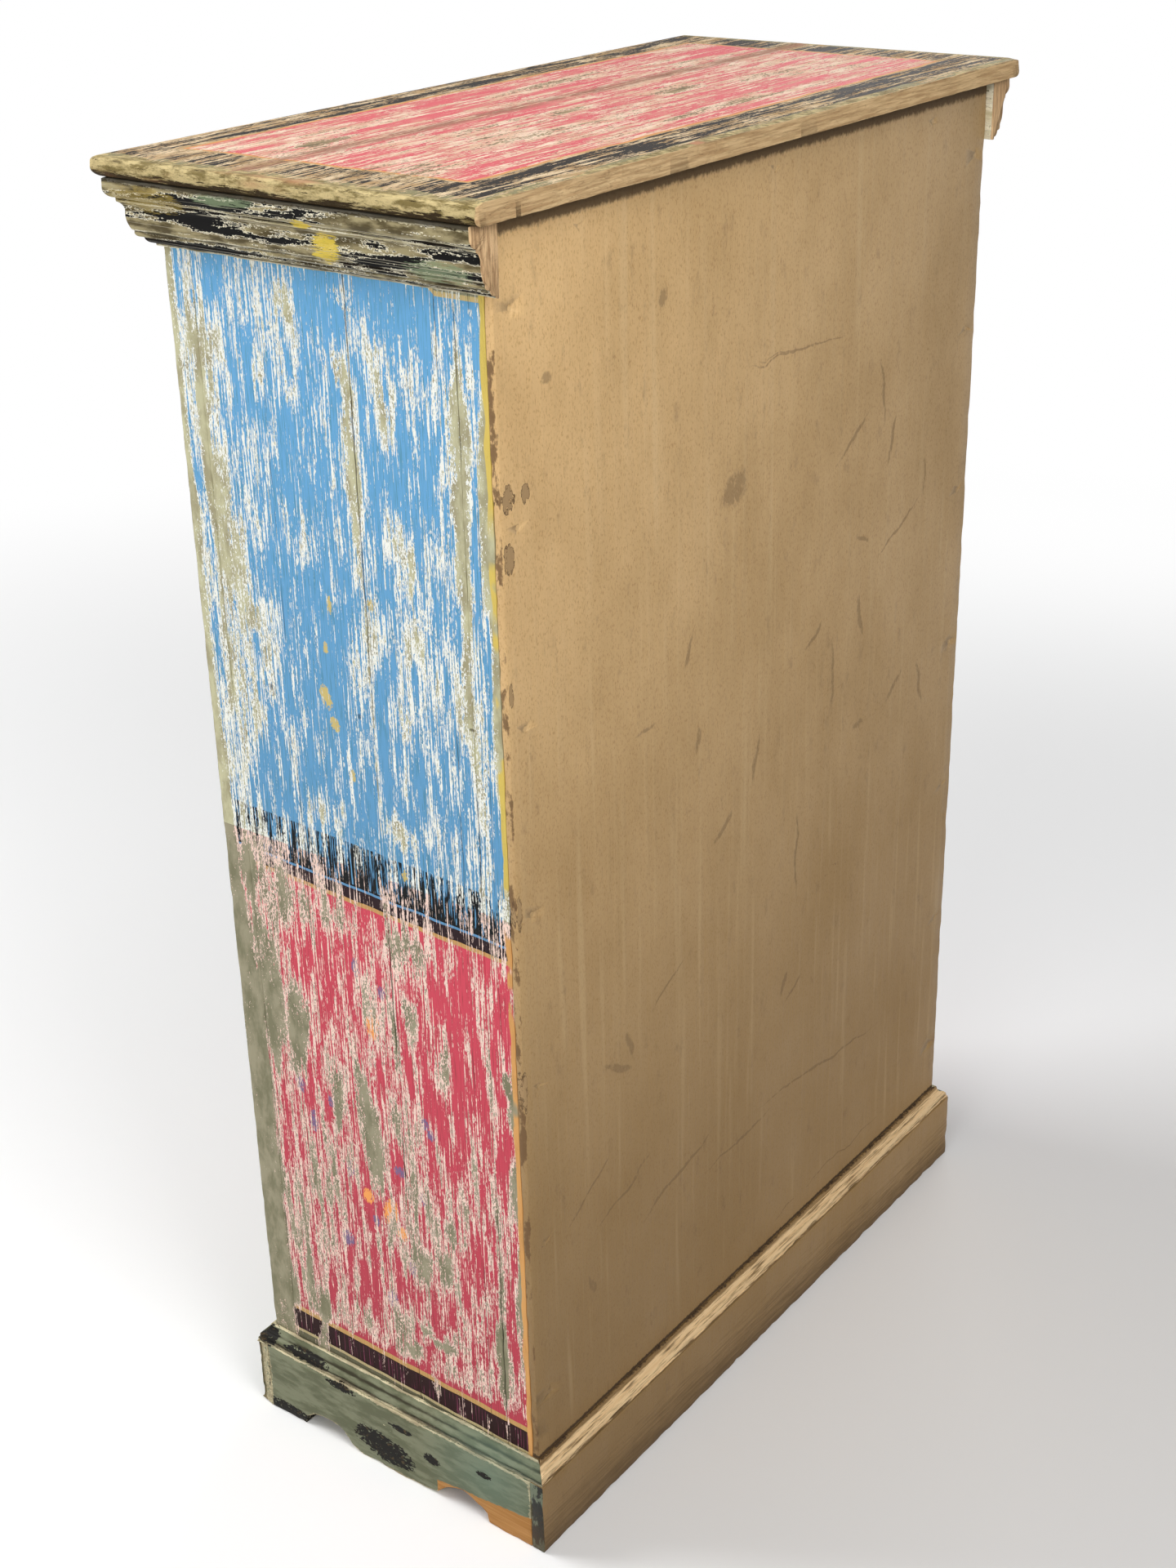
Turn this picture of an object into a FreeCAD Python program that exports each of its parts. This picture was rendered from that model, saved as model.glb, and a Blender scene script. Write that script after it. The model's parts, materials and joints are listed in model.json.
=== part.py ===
import FreeCAD, Part
import os
from FreeCAD import Vector

# Two-door painted cabinet. Millimetres, +Z up, front towards -Y, seen side at +X.
# The origin lies on the floor, under the middle of the top board.

# Body
body_width = 785.0
body_depth = 350.0  # face of the front frame to the outer face of the back panel
overall_height = 1300.0
front_post_width = 45.0
front_post_depth = 30.0
rear_post_width = 40.0
rear_post_depth = 30.0
side_plank_thickness = 18.0
front_plank_width = 170.0  # the plank behind it fills the rest of the side
side_plank_lift = 30.0  # lower ends of the planks, hidden by the plinth
back_panel_thickness = 8.0
back_panel_lift = 30.0

# Top
top_thickness = 17.0
top_side_overhang = 36.5
top_front_overhang = 39.0
top_back_overhang = 17.0
top_front_plank_width = 156.0
top_lower_round = 10.0
top_upper_round = 4.0

# Front frame and rails
head_rail_reveal = 10.4  # shows between the cornice and the doors
sill_rail_height = 30.0
sill_rail_top = 125.0
rail_depth = 42.0
frame_tenon_length = 25.0
frame_tenon_thickness = 10.0
frame_tenon_shoulder = 6.0
rear_rail_height = 50.0
stop_size = 12.0
stop_length = 240.0
stop_inset = 58.0  # middle of the cabinet to the near end of a door stop
stop_clearance = 0.3  # behind a closed door

# Shelves and floor
board_thickness = 18.0
shelf_count = 2
shelf_setback = 58.0  # front frame face to the front edge of a shelf
cleat_width = 20.0
cleat_height = 20.0

# Cornice under the top: how far each member steps out, and its height
cornice_foot_reach = 4.0
cornice_foot_height = 2.6
lower_bead_reach = 6.5
lower_bead_height = 5.4
upper_bead_reach = 3.8
upper_bead_height = 5.5
bead_quirk = 1.2
bead_bulge = 1.9
waist_reach = 3.1
waist_height = 16.5
waist_bulge = 1.3
cove_reach = 4.8
cove_height = 7.6
cove_hollow = 1.4
fillet_height = 3.2
fillet_step = 2.2
ovolo_reach = 4.9
ovolo_height = 12.6
ovolo_bulge = 2.2
cornice_crown_height = 4.2
cornice_end_proud = 8.3  # past the back panel, where the end grain shows

# Plinth
plinth_height = 82.0
plinth_side_thickness = 16.0
plinth_front_thickness = 18.8
plinth_back_thickness = 15.1
scallop_height = 22.4
scallop_notch = 10.8
shoulder_height = 5.0
notch_slope = 0.02  # this and the next five are shares of a scallop's width
crest_place = 0.44
shoulder_place = 0.78
crest_bulge = 0.04
shoulder_bulge = 0.035
toe_bulge = 0.015
side_front_foot = 49.0
side_scallop_width = 84.0
drop_width = 78.0
front_foot_width = 72.0
front_scallop_count = 4

# Moulding on the plinth: how far each member steps back, and its height
moulding_setback = 0.6  # behind the thinnest plinth board's face
moulding_edge_height = 2.6
moulding_step = 1.8
moulding_ovolo_reach = 3.8
moulding_ovolo_height = 7.0
moulding_ovolo_bulge = 1.6
moulding_quirk = 1.6
moulding_cove_reach = 3.4
moulding_cove_height = 6.8
moulding_cove_hollow = 0.8
moulding_crown_height = 1.6

# Doors
door_thickness = 24.0
hinge_gap = 1.6
meeting_gap = 3.0
door_end_gap = 2.0
stile_width = 62.0
top_rail_height = 62.0
lock_rail_height = 66.0
lock_rail_centre = 688.0
bottom_rail_height = 88.0
door_tenon_length = 40.0
door_tenon_thickness = 8.0
door_tenon_shoulder = 9.0
panel_edge_thickness = 7.0
panel_setback = 9.0  # door face to the face of the panel's edge
groove_depth = 9.0
panel_expansion = 1.5  # room left in the groove
field_rise = 5.5
field_margin = 4.0
field_slope = 30.0

# Hinges
hinge_height = 76.0
hinge_count = 3
hinge_inset = 100.0  # door end to the near end of a hinge
knuckle_radius = 4.0
knuckle_count = 5
knuckle_gap = 0.3
knuckle_standoff = 0.5  # face of the door to the back of the knuckle
pin_radius = 1.5
pin_clearance = 0.05
pin_head_radius = 2.8
pin_head_height = 2.4
leaf_thickness = 1.5
leaf_depth = 21.0
leaf_gap = 0.3
screw_radius = 1.5
screw_head_radius = 3.2
screw_length = 17.0
screw_clearance = 0.08
screws_per_leaf = 3
screw_margin = 11.0  # end of a leaf or plate to its last screw

# Knobs and turn button
knob_rise = 29.0  # top of the lock rail to the middle of a knob
knob_radius = 15.0
knob_neck_radius = 7.5
knob_base_radius = 12.0
knob_base_thickness = 5.0
knob_neck_length = 8.0
knob_projection = 31.0
knob_button_radius = 6.5  # the flat eye in the middle of the knob
knob_button_rise = 1.0
knob_bulge = 2.2
knob_spindle_radius = 5.0
knob_spindle_length = 15.0
spindle_clearance = 0.08
button_knob_gap = 29.0  # top of the left knob to the lower end of the button
button_edge_distance = 23.0  # meeting edge to the button's screw
button_length = 72.0
button_width = 22.0
button_thickness = 9.0
button_play = 0.15
washer_thickness = 1.2
washer_radius = 6.0
button_screw_radius = 2.2
button_screw_head_radius = 5.0
button_screw_head_height = 2.6
button_screw_depth = 15.0  # into the door

# Barrel bolts
bolt_radius = 4.0
bolt_length = 92.0
bolt_travel = 20.0
bolt_setback = 2.0  # end of a drawn bolt, inside the end of the door
bolt_standoff = 1.2  # plate to the rod
bolt_clearance = 0.08
bolt_plate_width = 30.0
bolt_plate_height = 96.0
bolt_plate_thickness = 1.5
bolt_plate_margin = 5.0  # end of the door to the plate
bracket_width = 15.0
bracket_wall = 2.0
bracket_length = 10.0
bracket_inset = 12.0
bolt_end_margin = 5.0  # end of the plate to its screws
bolt_grip_radius = 3.0
bolt_grip_reach = 12.0
keeper_width = 34.0
keeper_depth = 15.0
keeper_thickness = 1.5
keeper_clearance = 0.6
socket_extra = 3.0

# Back panel nails
nail_radius = 1.1
nail_head_radius = 2.4
nail_head_height = 0.8
nail_length = 30.0
nail_clearance = 0.06
nails_per_post = 7
nails_per_rail = 3
nail_end_distance = 70.0

# Each member of a moulding, from the bottom up: outwards, upwards, bulge
cornice_members = [
    (cornice_foot_reach, 0, 0),
    (0, cornice_foot_height, 0),
    (lower_bead_reach, lower_bead_height, bead_bulge),
    (bead_quirk, 0, 0),
    (upper_bead_reach, upper_bead_height, bead_bulge),
    (bead_quirk, 0, 0),
    (waist_reach, waist_height, waist_bulge),
    (cove_reach, cove_height, -cove_hollow),
    (0, fillet_height, 0),
    (fillet_step, 0, 0),
    (ovolo_reach, ovolo_height, ovolo_bulge),
    (0, cornice_crown_height, 0),
]
thinnest_plinth = min(plinth_side_thickness, plinth_front_thickness, plinth_back_thickness)
moulding_base = thinnest_plinth - moulding_setback
moulding_members = [
    (moulding_base, 0, 0),
    (0, moulding_edge_height, 0),
    (-moulding_step, 0, 0),
    (-moulding_ovolo_reach, moulding_ovolo_height, moulding_ovolo_bulge),
    (-moulding_quirk, 0, 0),
    (-moulding_cove_reach, moulding_cove_height, -moulding_cove_hollow),
    (0, moulding_crown_height, 0),
]

# Derived places
cornice_reach = sum(member[0] for member in cornice_members)
cornice_height = sum(member[1] for member in cornice_members)
moulding_height = sum(member[1] for member in moulding_members)
half_width = body_width / 2
overall_depth = top_front_overhang + body_depth + top_back_overhang
front_y = top_front_overhang - overall_depth / 2
back_y = front_y + body_depth
panel_front_y = back_y - back_panel_thickness
rear_post_y = panel_front_y - rear_post_depth
top_z = overall_height - top_thickness
inner_half = half_width - side_plank_thickness
opening_half = half_width - front_post_width
opening_top = top_z - cornice_height - head_rail_reveal
opening_bottom = sill_rail_top
rail_back_y = front_y + rail_depth
shelf_front_y = front_y + shelf_setback
door_bottom = opening_bottom + door_end_gap
door_top = opening_top - door_end_gap
door_back_y = front_y + door_thickness
door_hinge_x = opening_half - hinge_gap
door_meeting_x = meeting_gap / 2
pivot_x = opening_half - hinge_gap / 2
pivot_y = front_y - knuckle_standoff - knuckle_radius
opening_mid_z = (opening_top + opening_bottom) / 2
knob_height = lock_rail_centre + lock_rail_height / 2 + knob_rise
button_height = knob_height + knob_radius + button_knob_gap + button_length / 2
UP = Vector(0, 0, 1)
RIGHT = Vector(1, 0, 0)
FRONT = Vector(0, -1, 0)
BACK = Vector(0, 1, 0)


def box(low, high):
    # A block between two corners.
    size = [high[i] - low[i] for i in range(3)]
    return Part.makeBox(*size, Vector(*low))


def rod(base, radius, length, direction):
    return Part.makeCylinder(radius, length, base, direction)


def mirrored(shape):
    # The same piece on the left of the cabinet.
    return shape.mirror(Vector(0, 0, 0), RIGHT)


def both_sides(shape):
    return [shape, mirrored(shape)]


def joined(shapes):
    return shapes[0].multiFuse(shapes[1:]).removeSplitter()


def outline(steps, base, across):
    # A closed face in the plane of across and up. Each step is (across, up, bulge);
    # a bulge bends the line to that point into an arc, outwards when positive.
    points = [base + across * step[0] + UP * step[1] for step in steps]
    edges = []
    for i, step in enumerate(steps):
        start = points[i - 1]
        end = points[i]
        bulge = step[2]
        if bulge == 0:
            edges.append(Part.makeLine(start, end))
            continue
        run = step[0] - steps[i - 1][0]
        rise = step[1] - steps[i - 1][1]
        length = (run * run + rise * rise) ** 0.5
        aside = (across * rise - UP * run) * (bulge / length)
        middle = (start + end) * 0.5 + aside
        edges.append(Part.Arc(start, middle, end).toShape())
    return Part.Face(Part.Wire(edges))


def plan_prism(corners, low_z, high_z):
    # A plan outline, raised between two heights.
    points = [Vector(x, y, low_z) for x, y in corners]
    wire = Part.makePolygon(points + points[:1])
    return Part.Face(wire).extrude(UP * (high_z - low_z))


def cut_to_plan(strip, corners):
    return strip.common(plan_prism(corners, -1, overall_height))


def front_strip(steps, reach):
    # A length of moulding along the front, mitred at both ends.
    start = Vector(-half_width - reach, front_y, 0)
    strip = outline(steps, start, FRONT).extrude(RIGHT * (body_width + 2 * reach))
    corners = [
        (-half_width, front_y),
        (half_width, front_y),
        (half_width + reach, front_y - reach),
        (-half_width - reach, front_y - reach),
    ]
    return cut_to_plan(strip, corners)


def back_strip(steps, reach):
    start = Vector(-half_width - reach, back_y, 0)
    strip = outline(steps, start, BACK).extrude(RIGHT * (body_width + 2 * reach))
    corners = [
        (-half_width, back_y),
        (half_width, back_y),
        (half_width + reach, back_y + reach),
        (-half_width - reach, back_y + reach),
    ]
    return cut_to_plan(strip, corners)


def right_strip(steps, reach, inner_end, outer_end):
    # Mitred at the front; its rear end runs from inner_end to outer_end.
    start = Vector(half_width, front_y - reach, 0)
    strip = outline(steps, start, RIGHT).extrude(BACK * (body_depth + 2 * reach))
    corners = [
        (half_width, front_y),
        (half_width + reach, front_y - reach),
        (half_width + reach, outer_end),
        (half_width, inner_end),
    ]
    return cut_to_plan(strip, corners)


def save(node, *shapes):
    # Writes one named piece, or a group of like pieces, to its own file.
    solids = [solid for shape in shapes for solid in shape.Solids]
    whole = solids[0] if len(solids) == 1 else Part.makeCompound(solids)
    if not whole.isValid():
        raise ValueError(node + " is not a valid solid")
    whole.exportStep("parts/" + node + ".step")
    print(node, len(solids), round(whole.Volume / 1000, 1))


def round_edges(board, radius, picks):
    # Rounds the edges whose middles pass the test.
    edges = [edge for edge in board.Edges if picks(edge.CenterOfMass)]
    return board.makeFillet(radius, edges)


def make_top():
    # Two planks along the cabinet, with rounded noses at the front and both ends.
    half = half_width + top_side_overhang
    low_y = front_y - top_front_overhang
    seam_y = low_y + top_front_plank_width
    high_y = back_y + top_back_overhang
    front = box((-half, low_y, top_z), (half, seam_y, overall_height))
    rear = box((-half, seam_y, top_z), (half, high_y, overall_height))

    def at_nose(middle, z):
        at_end = abs(abs(middle.x) - half) < 0.1
        at_front = abs(middle.y - low_y) < 0.1
        return (at_end or at_front) and abs(middle.z - z) < 0.1

    for radius, z in ((top_lower_round, top_z), (top_upper_round, overall_height)):
        front = round_edges(front, radius, lambda middle: at_nose(middle, z))
        rear = round_edges(rear, radius, lambda middle: at_nose(middle, z))
    save("top_plank_front", front)
    save("top_plank_back", rear)


def moulding_steps(foot, members):
    # Places of a moulding's members on its wall, from the foot up and back to the wall.
    steps = [(0, foot, 0)]
    for outwards, upwards, bulge in members:
        last = steps[-1]
        steps.append((last[0] + outwards, last[1] + upwards, bulge))
    steps.append((0, steps[-1][1], 0))
    return steps


def make_cornice():
    steps = moulding_steps(top_z - cornice_height, cornice_members)
    end = back_y + cornice_end_proud
    side = right_strip(steps, cornice_reach, end, end)
    save("cornice_front", front_strip(steps, cornice_reach))
    save("cornice_right", side)
    save("cornice_left", mirrored(side))


def scallop(start, width, foot_first):
    # The lower edge of one cut-out, from a foot's notch over to a low drop. The
    # other way round it is the mirror image, traced from the drop to the foot.
    steps = [
        (0, 0, 0),
        (notch_slope * width, scallop_notch, 0),
        (crest_place * width, scallop_height, -crest_bulge * width),
        (shoulder_place * width, shoulder_height, -shoulder_bulge * width),
        (width, 0, toe_bulge * width),
    ]
    if foot_first:
        return [(start + across, up, bulge) for across, up, bulge in steps]
    bulges = [0] + [step[2] for step in reversed(steps[1:])]
    turned = [(start + width - step[0], step[1]) for step in reversed(steps)]
    return [place + (bulge,) for place, bulge in zip(turned, bulges)]


def make_plinth():
    # Scalloped boards round the body, with the front and back ones over the ends.
    half = half_width + plinth_side_thickness
    rear_scallop = side_front_foot + side_scallop_width + drop_width
    steps = [(0, plinth_height, 0), (0, 0, 0)]
    steps += scallop(side_front_foot, side_scallop_width, True)
    steps += scallop(rear_scallop, side_scallop_width, False)
    steps += [(body_depth, 0, 0), (body_depth, plinth_height, 0)]
    face = outline(steps, Vector(half_width, front_y, 0), BACK)
    right = face.extrude(RIGHT * plinth_side_thickness)
    save("plinth_right", right)
    save("plinth_left", mirrored(right))

    drops = front_scallop_count - 1
    spare = 2 * half - 2 * front_foot_width - drops * drop_width
    width = spare / front_scallop_count
    steps = [(0, plinth_height, 0), (0, 0, 0)]
    for i in range(front_scallop_count):
        start = front_foot_width + i * (width + drop_width)
        steps += scallop(start, width, i < front_scallop_count / 2)
    steps += [(2 * half, 0, 0), (2 * half, plinth_height, 0)]
    face = outline(steps, Vector(-half, front_y, 0), RIGHT)
    save("plinth_front", face.extrude(FRONT * plinth_front_thickness))
    low = (-half, back_y, 0)
    high = (half, back_y + plinth_back_thickness, plinth_height)
    save("plinth_back", box(low, high))


def make_plinth_moulding():
    steps = moulding_steps(plinth_height, moulding_members)
    side = right_strip(steps, moulding_base, back_y, back_y + moulding_base)
    save("plinth_moulding_front", front_strip(steps, moulding_base))
    save("plinth_moulding_back", back_strip(steps, moulding_base))
    save("plinth_moulding_right", side)
    save("plinth_moulding_left", mirrored(side))


def tenoned_rail(low, high, tenon, tenon_y):
    # A rail between two uprights, with a tenon into each.
    length, thickness, shoulder = tenon
    tenon_low = (low[0] - length, tenon_y - thickness / 2, low[2] + shoulder)
    tenon_high = (high[0] + length, tenon_y + thickness / 2, high[2] - shoulder)
    return joined([box(low, high), box(tenon_low, tenon_high)])


def frame_rail(low_z, high_z):
    tenon = (frame_tenon_length, frame_tenon_thickness, frame_tenon_shoulder)
    low = (-opening_half, front_y, low_z)
    high = (opening_half, rail_back_y, high_z)
    return tenoned_rail(low, high, tenon, front_y + front_post_depth / 2)


def make_side_planks():
    seam_y = front_y + front_post_depth + front_plank_width
    front_low = (inner_half, front_y + front_post_depth, side_plank_lift)
    front = box(front_low, (half_width, seam_y, top_z))
    rear = box((inner_half, seam_y, side_plank_lift), (half_width, rear_post_y, top_z))
    save("right_side_plank_front", front)
    save("left_side_plank_front", mirrored(front))
    save("right_side_plank_back", rear)
    save("left_side_plank_back", mirrored(rear))


def make_boards():
    # The floor and the shelves, notched round the rear posts, on cleats at each end.
    step = (top_z - opening_bottom + board_thickness) / (shelf_count + 1)
    tops = [opening_bottom + i * step for i in range(shelf_count + 1)]
    cleats = []
    for i, top in enumerate(tops):
        board_front_y = rail_back_y if i == 0 else shelf_front_y
        low_z = top - board_thickness
        board = box((-inner_half, board_front_y, low_z), (inner_half, panel_front_y, top))
        notch_low = (half_width - rear_post_width, rear_post_y, low_z)
        notch = box(notch_low, (half_width, panel_front_y, top))
        board = board.cut(Part.makeCompound(both_sides(notch)))
        save("floor_board" if i == 0 else "shelf_" + str(i), board)
        cleat_low = (inner_half - cleat_width, board_front_y, low_z - cleat_height)
        cleats += both_sides(box(cleat_low, (inner_half, rear_post_y, low_z)))
    save("shelf_cleats", *cleats)


def countersunk(base, direction, extra):
    # A wood screw with its head flush at base. With extra it is the hole for one.
    head = leaf_thickness
    cone = Part.makeCone(
        screw_head_radius + extra, screw_radius + extra, head, base, direction
    )
    shank = rod(base + direction * head, screw_radius + extra, screw_length, direction)
    return joined([cone, shank])


def spaced(low, high, count):
    # Evenly spaced places from low to high.
    if count == 1:
        return [(low + high) / 2]
    return [low + i * (high - low) / (count - 1) for i in range(count)]


def hinge_leaf(low_z, is_post):
    # One leaf with its knuckles. Post and door leaves take turns along the pin.
    if is_post:
        near_x = pivot_x + leaf_gap / 2
    else:
        near_x = pivot_x - leaf_gap / 2 - leaf_thickness
    far_x = near_x + leaf_thickness
    high_z = low_z + hinge_height
    plate = box((near_x, front_y, low_z), (far_x, front_y + leaf_depth, high_z))
    pieces = [plate]
    pitch = hinge_height / knuckle_count
    for i in range(0 if is_post else 1, knuckle_count, 2):
        knuckle_low = low_z + i * pitch + knuckle_gap / 2
        length = pitch - knuckle_gap
        base = Vector(pivot_x, pivot_y, knuckle_low)
        pieces.append(rod(base, knuckle_radius, length, UP))
        tab_high = (far_x, front_y, knuckle_low + length)
        pieces.append(box((near_x, pivot_y, knuckle_low), tab_high))
    bore_base = Vector(pivot_x, pivot_y, low_z - 1)
    bore = rod(bore_base, pin_radius + pin_clearance, hinge_height + 2, UP)
    return joined(pieces).cut(bore)


def hinge_screws(low_z, is_post, extra):
    # Screws through a leaf into the post or the door's edge.
    direction = RIGHT if is_post else RIGHT * -1
    start_x = pivot_x + direction.x * leaf_gap / 2
    y = front_y + leaf_depth / 2
    lowest = low_z + screw_margin
    highest = low_z + hinge_height - screw_margin
    places = spaced(lowest, highest, screws_per_leaf)
    return [countersunk(Vector(start_x, y, z), direction, extra) for z in places]


def hinge_pin(low_z):
    # A loose pin through the knuckles, with a small head at each end.
    shank = rod(Vector(pivot_x, pivot_y, low_z), pin_radius, hinge_height, UP)
    above = Vector(pivot_x, pivot_y, low_z + hinge_height)
    below = Vector(pivot_x, pivot_y, low_z)
    heads = []
    for base, direction in ((above, UP), (below, UP * -1)):
        tip_radius = pin_head_radius / 2
        head = Part.makeCone(pin_head_radius, tip_radius, pin_head_height, base, direction)
        heads.append(head)
    return joined([shank] + heads)


def hinge_places():
    lowest = door_bottom + hinge_inset
    highest = door_top - hinge_inset - hinge_height
    return spaced(lowest, highest, hinge_count)


def bolt_axis():
    # Where the barrel bolts run, on the right door's side of the middle.
    y = door_back_y + bolt_plate_thickness + bolt_standoff + bolt_radius
    return door_meeting_x + stile_width / 2, y


def bolt_socket(is_head):
    # The hole that a shot bolt enters, and the recess of its keeper, in a rail.
    x, y = bolt_axis()
    start = opening_top if is_head else opening_bottom
    direction = UP if is_head else UP * -1
    depth = bolt_travel - bolt_setback - door_end_gap + socket_extra
    hole = rod(Vector(-x, y, start), bolt_radius + keeper_clearance, depth, direction)
    return joined([hole, keeper_plate(is_head)])


def keeper_plate(is_head):
    x, y = bolt_axis()
    low_z = opening_top if is_head else opening_bottom - keeper_thickness
    low = (-x - keeper_width / 2, y - keeper_depth / 2, low_z)
    high = (-x + keeper_width / 2, y + keeper_depth / 2, low_z + keeper_thickness)
    return box(low, high)


def make_keepers():
    x, y = bolt_axis()
    plates = []
    for is_head in (False, True):
        base = Vector(-x, y, 0)
        hole = rod(base, bolt_radius + keeper_clearance, overall_height, UP)
        plates.append(keeper_plate(is_head).cut(hole))
    save("bolt_keepers", *plates)


def make_front_frame():
    # Corner posts, rails with tenons into them, and the strips the doors close on.
    head = frame_rail(opening_top, top_z)
    sill = frame_rail(opening_bottom - sill_rail_height, opening_bottom)
    post = box((opening_half, front_y, 0), (half_width, front_y + front_post_depth, top_z))
    post = post.cut(Part.makeCompound([head, sill]))
    for low_z in hinge_places():
        cuts = [hinge_leaf(low_z, True)] + hinge_screws(low_z, True, screw_clearance)
        post = post.cut(Part.makeCompound(cuts))
    save("front_post_right", post)
    save("front_post_left", mirrored(post))
    save("head_rail", head.cut(bolt_socket(True)))
    save("sill_rail", sill.cut(bolt_socket(False)))
    stop_y = door_back_y + stop_clearance
    low = (stop_inset, stop_y, opening_top - stop_size)
    high = (stop_inset + stop_length, stop_y + stop_size, opening_top)
    save("door_stops", *both_sides(box(low, high)))


def make_post_hinges():
    leaves = []
    screws = []
    pins = []
    for low_z in hinge_places():
        leaf = hinge_leaf(low_z, True)
        leaf = leaf.cut(Part.makeCompound(hinge_screws(low_z, True, screw_clearance)))
        leaves += both_sides(leaf)
        pins += both_sides(hinge_pin(low_z))
        for screw in hinge_screws(low_z, True, 0):
            screws += both_sides(screw)
    save("post_hinge_leaves", *leaves)
    save("hinge_pins", *pins)
    save("post_hinge_screws", *screws)


def nail(x, z, extra):
    head = rod(Vector(x, back_y, z), nail_head_radius + extra, nail_head_height, FRONT)
    shank = rod(Vector(x, back_y, z), nail_radius + extra, nail_length, FRONT)
    return joined([head, shank])


def nail_places():
    # Down both rear posts, and along the rail at the top.
    post_x = half_width - rear_post_width / 2
    lowest = plinth_height + moulding_height + nail_end_distance
    places = []
    for z in spaced(lowest, top_z - nail_end_distance, nails_per_post):
        places += [(post_x, z), (-post_x, z)]
    rail_half = half_width - rear_post_width - nail_end_distance
    for x in spaced(-rail_half, rail_half, nails_per_rail):
        places.append((x, top_z - rear_rail_height / 2))
    return places


def make_back():
    # Rear posts, the rail between them and the panel nailed over all three.
    holes = Part.makeCompound([nail(x, z, nail_clearance) for x, z in nail_places()])
    post_low = (half_width - rear_post_width, rear_post_y, 0)
    post = box(post_low, (half_width, panel_front_y, top_z))
    save("rear_post_right", post.cut(holes))
    save("rear_post_left", mirrored(post).cut(holes))
    rail_half = half_width - rear_post_width
    rail_low = (-rail_half, rear_post_y, top_z - rear_rail_height)
    save("rear_top_rail", box(rail_low, (rail_half, panel_front_y, top_z)).cut(holes))
    panel_low = (-half_width, panel_front_y, back_panel_lift)
    save("back_panel", box(panel_low, (half_width, back_y, top_z)).cut(holes))
    save("back_panel_nails", *[nail(x, z, 0) for x, z in nail_places()])


def door_rails():
    # Low and high edges of a door's three rails.
    half_lock = lock_rail_height / 2
    return {
        "bottom_rail": (door_bottom, door_bottom + bottom_rail_height),
        "lock_rail": (lock_rail_centre - half_lock, lock_rail_centre + half_lock),
        "top_rail": (door_top - top_rail_height, door_top),
    }


def door_panel(low_z, high_z, extra):
    # A raised panel for the space between two rails. With extra it is its groove.
    low_x = door_meeting_x + stile_width
    high_x = door_hinge_x - stile_width
    tongue = groove_depth - panel_expansion + extra
    face_y = front_y + panel_setback
    low = (low_x - tongue, face_y, low_z - tongue)
    high = (high_x + tongue, face_y + panel_edge_thickness, high_z + tongue)
    plate = box(low, high)
    if extra:
        return plate
    wires = []
    for inset, y in ((field_margin, face_y), (field_margin + field_slope, face_y - field_rise)):
        corners = [
            Vector(low_x + inset, y, low_z + inset),
            Vector(high_x - inset, y, low_z + inset),
            Vector(high_x - inset, y, high_z - inset),
            Vector(low_x + inset, y, high_z - inset),
        ]
        wires.append(Part.makePolygon(corners + corners[:1]))
    return joined([plate, Part.makeLoft(wires, True)])


def knob(extra):
    # A turned knob and its spindle on the meeting stile. With extra, the spindle's hole.
    x = door_meeting_x + stile_width / 2
    centre = Vector(x, front_y, knob_height)
    spindle = rod(centre, knob_spindle_radius + extra, knob_spindle_length, BACK)
    if extra:
        return spindle
    neck_end = knob_base_thickness + knob_neck_length
    crown_end = knob_projection - knob_button_rise
    places = [
        (0, 0, 0),
        (knob_base_radius, 0, 0),
        (knob_base_radius, knob_base_thickness / 2, 0),
        (knob_neck_radius, knob_base_thickness, 0),
        (knob_neck_radius, neck_end, 0),
        (knob_radius, (neck_end + crown_end) / 2, knob_bulge / 2),
        (knob_button_radius, crown_end, knob_bulge),
        (0, knob_projection, 0),
    ]
    points = [Vector(x + out, front_y - along, knob_height) for out, along, bulge in places]
    edges = [Part.makeLine(points[-1], points[0])]
    for start, end, place in zip(points, points[1:], places[1:]):
        bulge = place[2]
        if bulge == 0:
            edges.append(Part.makeLine(start, end))
            continue
        along = (end - start).normalize()
        aside = Vector(-along.y, along.x, 0) * bulge
        edges.append(Part.Arc(start, (start + end) * 0.5 + aside, end).toShape())
    face = Part.Face(Part.Wire(edges))
    return joined([face.revolve(centre, FRONT, 360), spindle])


def bolt_plate_and_brackets():
    # The upper bolt's plate with its two brackets, bored for the rod.
    x, y = bolt_axis()
    high_z = door_top - bolt_plate_margin
    low_z = high_z - bolt_plate_height
    half = bolt_plate_width / 2
    plate_y = door_back_y + bolt_plate_thickness
    pieces = [box((x - half, door_back_y, low_z), (x + half, plate_y, high_z))]
    bracket_y = y + bolt_radius + bracket_wall
    for z in bracket_places():
        low = (x - bracket_width / 2, plate_y, z)
        high = (x + bracket_width / 2, bracket_y, z + bracket_length)
        pieces.append(box(low, high))
    bore_base = Vector(x, y, low_z - 1)
    bore = rod(bore_base, bolt_radius + bolt_clearance, bolt_plate_height + 2, UP)
    return joined(pieces).cut(bore)


def bracket_places():
    # Lower ends of the upper bolt's two brackets.
    high_z = door_top - bolt_plate_margin
    low_z = high_z - bolt_plate_height
    return low_z + bracket_inset, high_z - bracket_inset - bracket_length


def bolt_rod():
    # The sliding rod, drawn back into the door, with its grip between the brackets.
    x, y = bolt_axis()
    low_z = door_top - bolt_setback - bolt_length
    grip_z = sum(bracket_places()) / 2 + bracket_length / 2 - bolt_travel / 2
    shaft = rod(Vector(x, y, low_z), bolt_radius, bolt_length, UP)
    reach = bolt_radius + bolt_grip_reach
    return joined([shaft, rod(Vector(x, y, grip_z), bolt_grip_radius, reach, BACK)])


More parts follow.
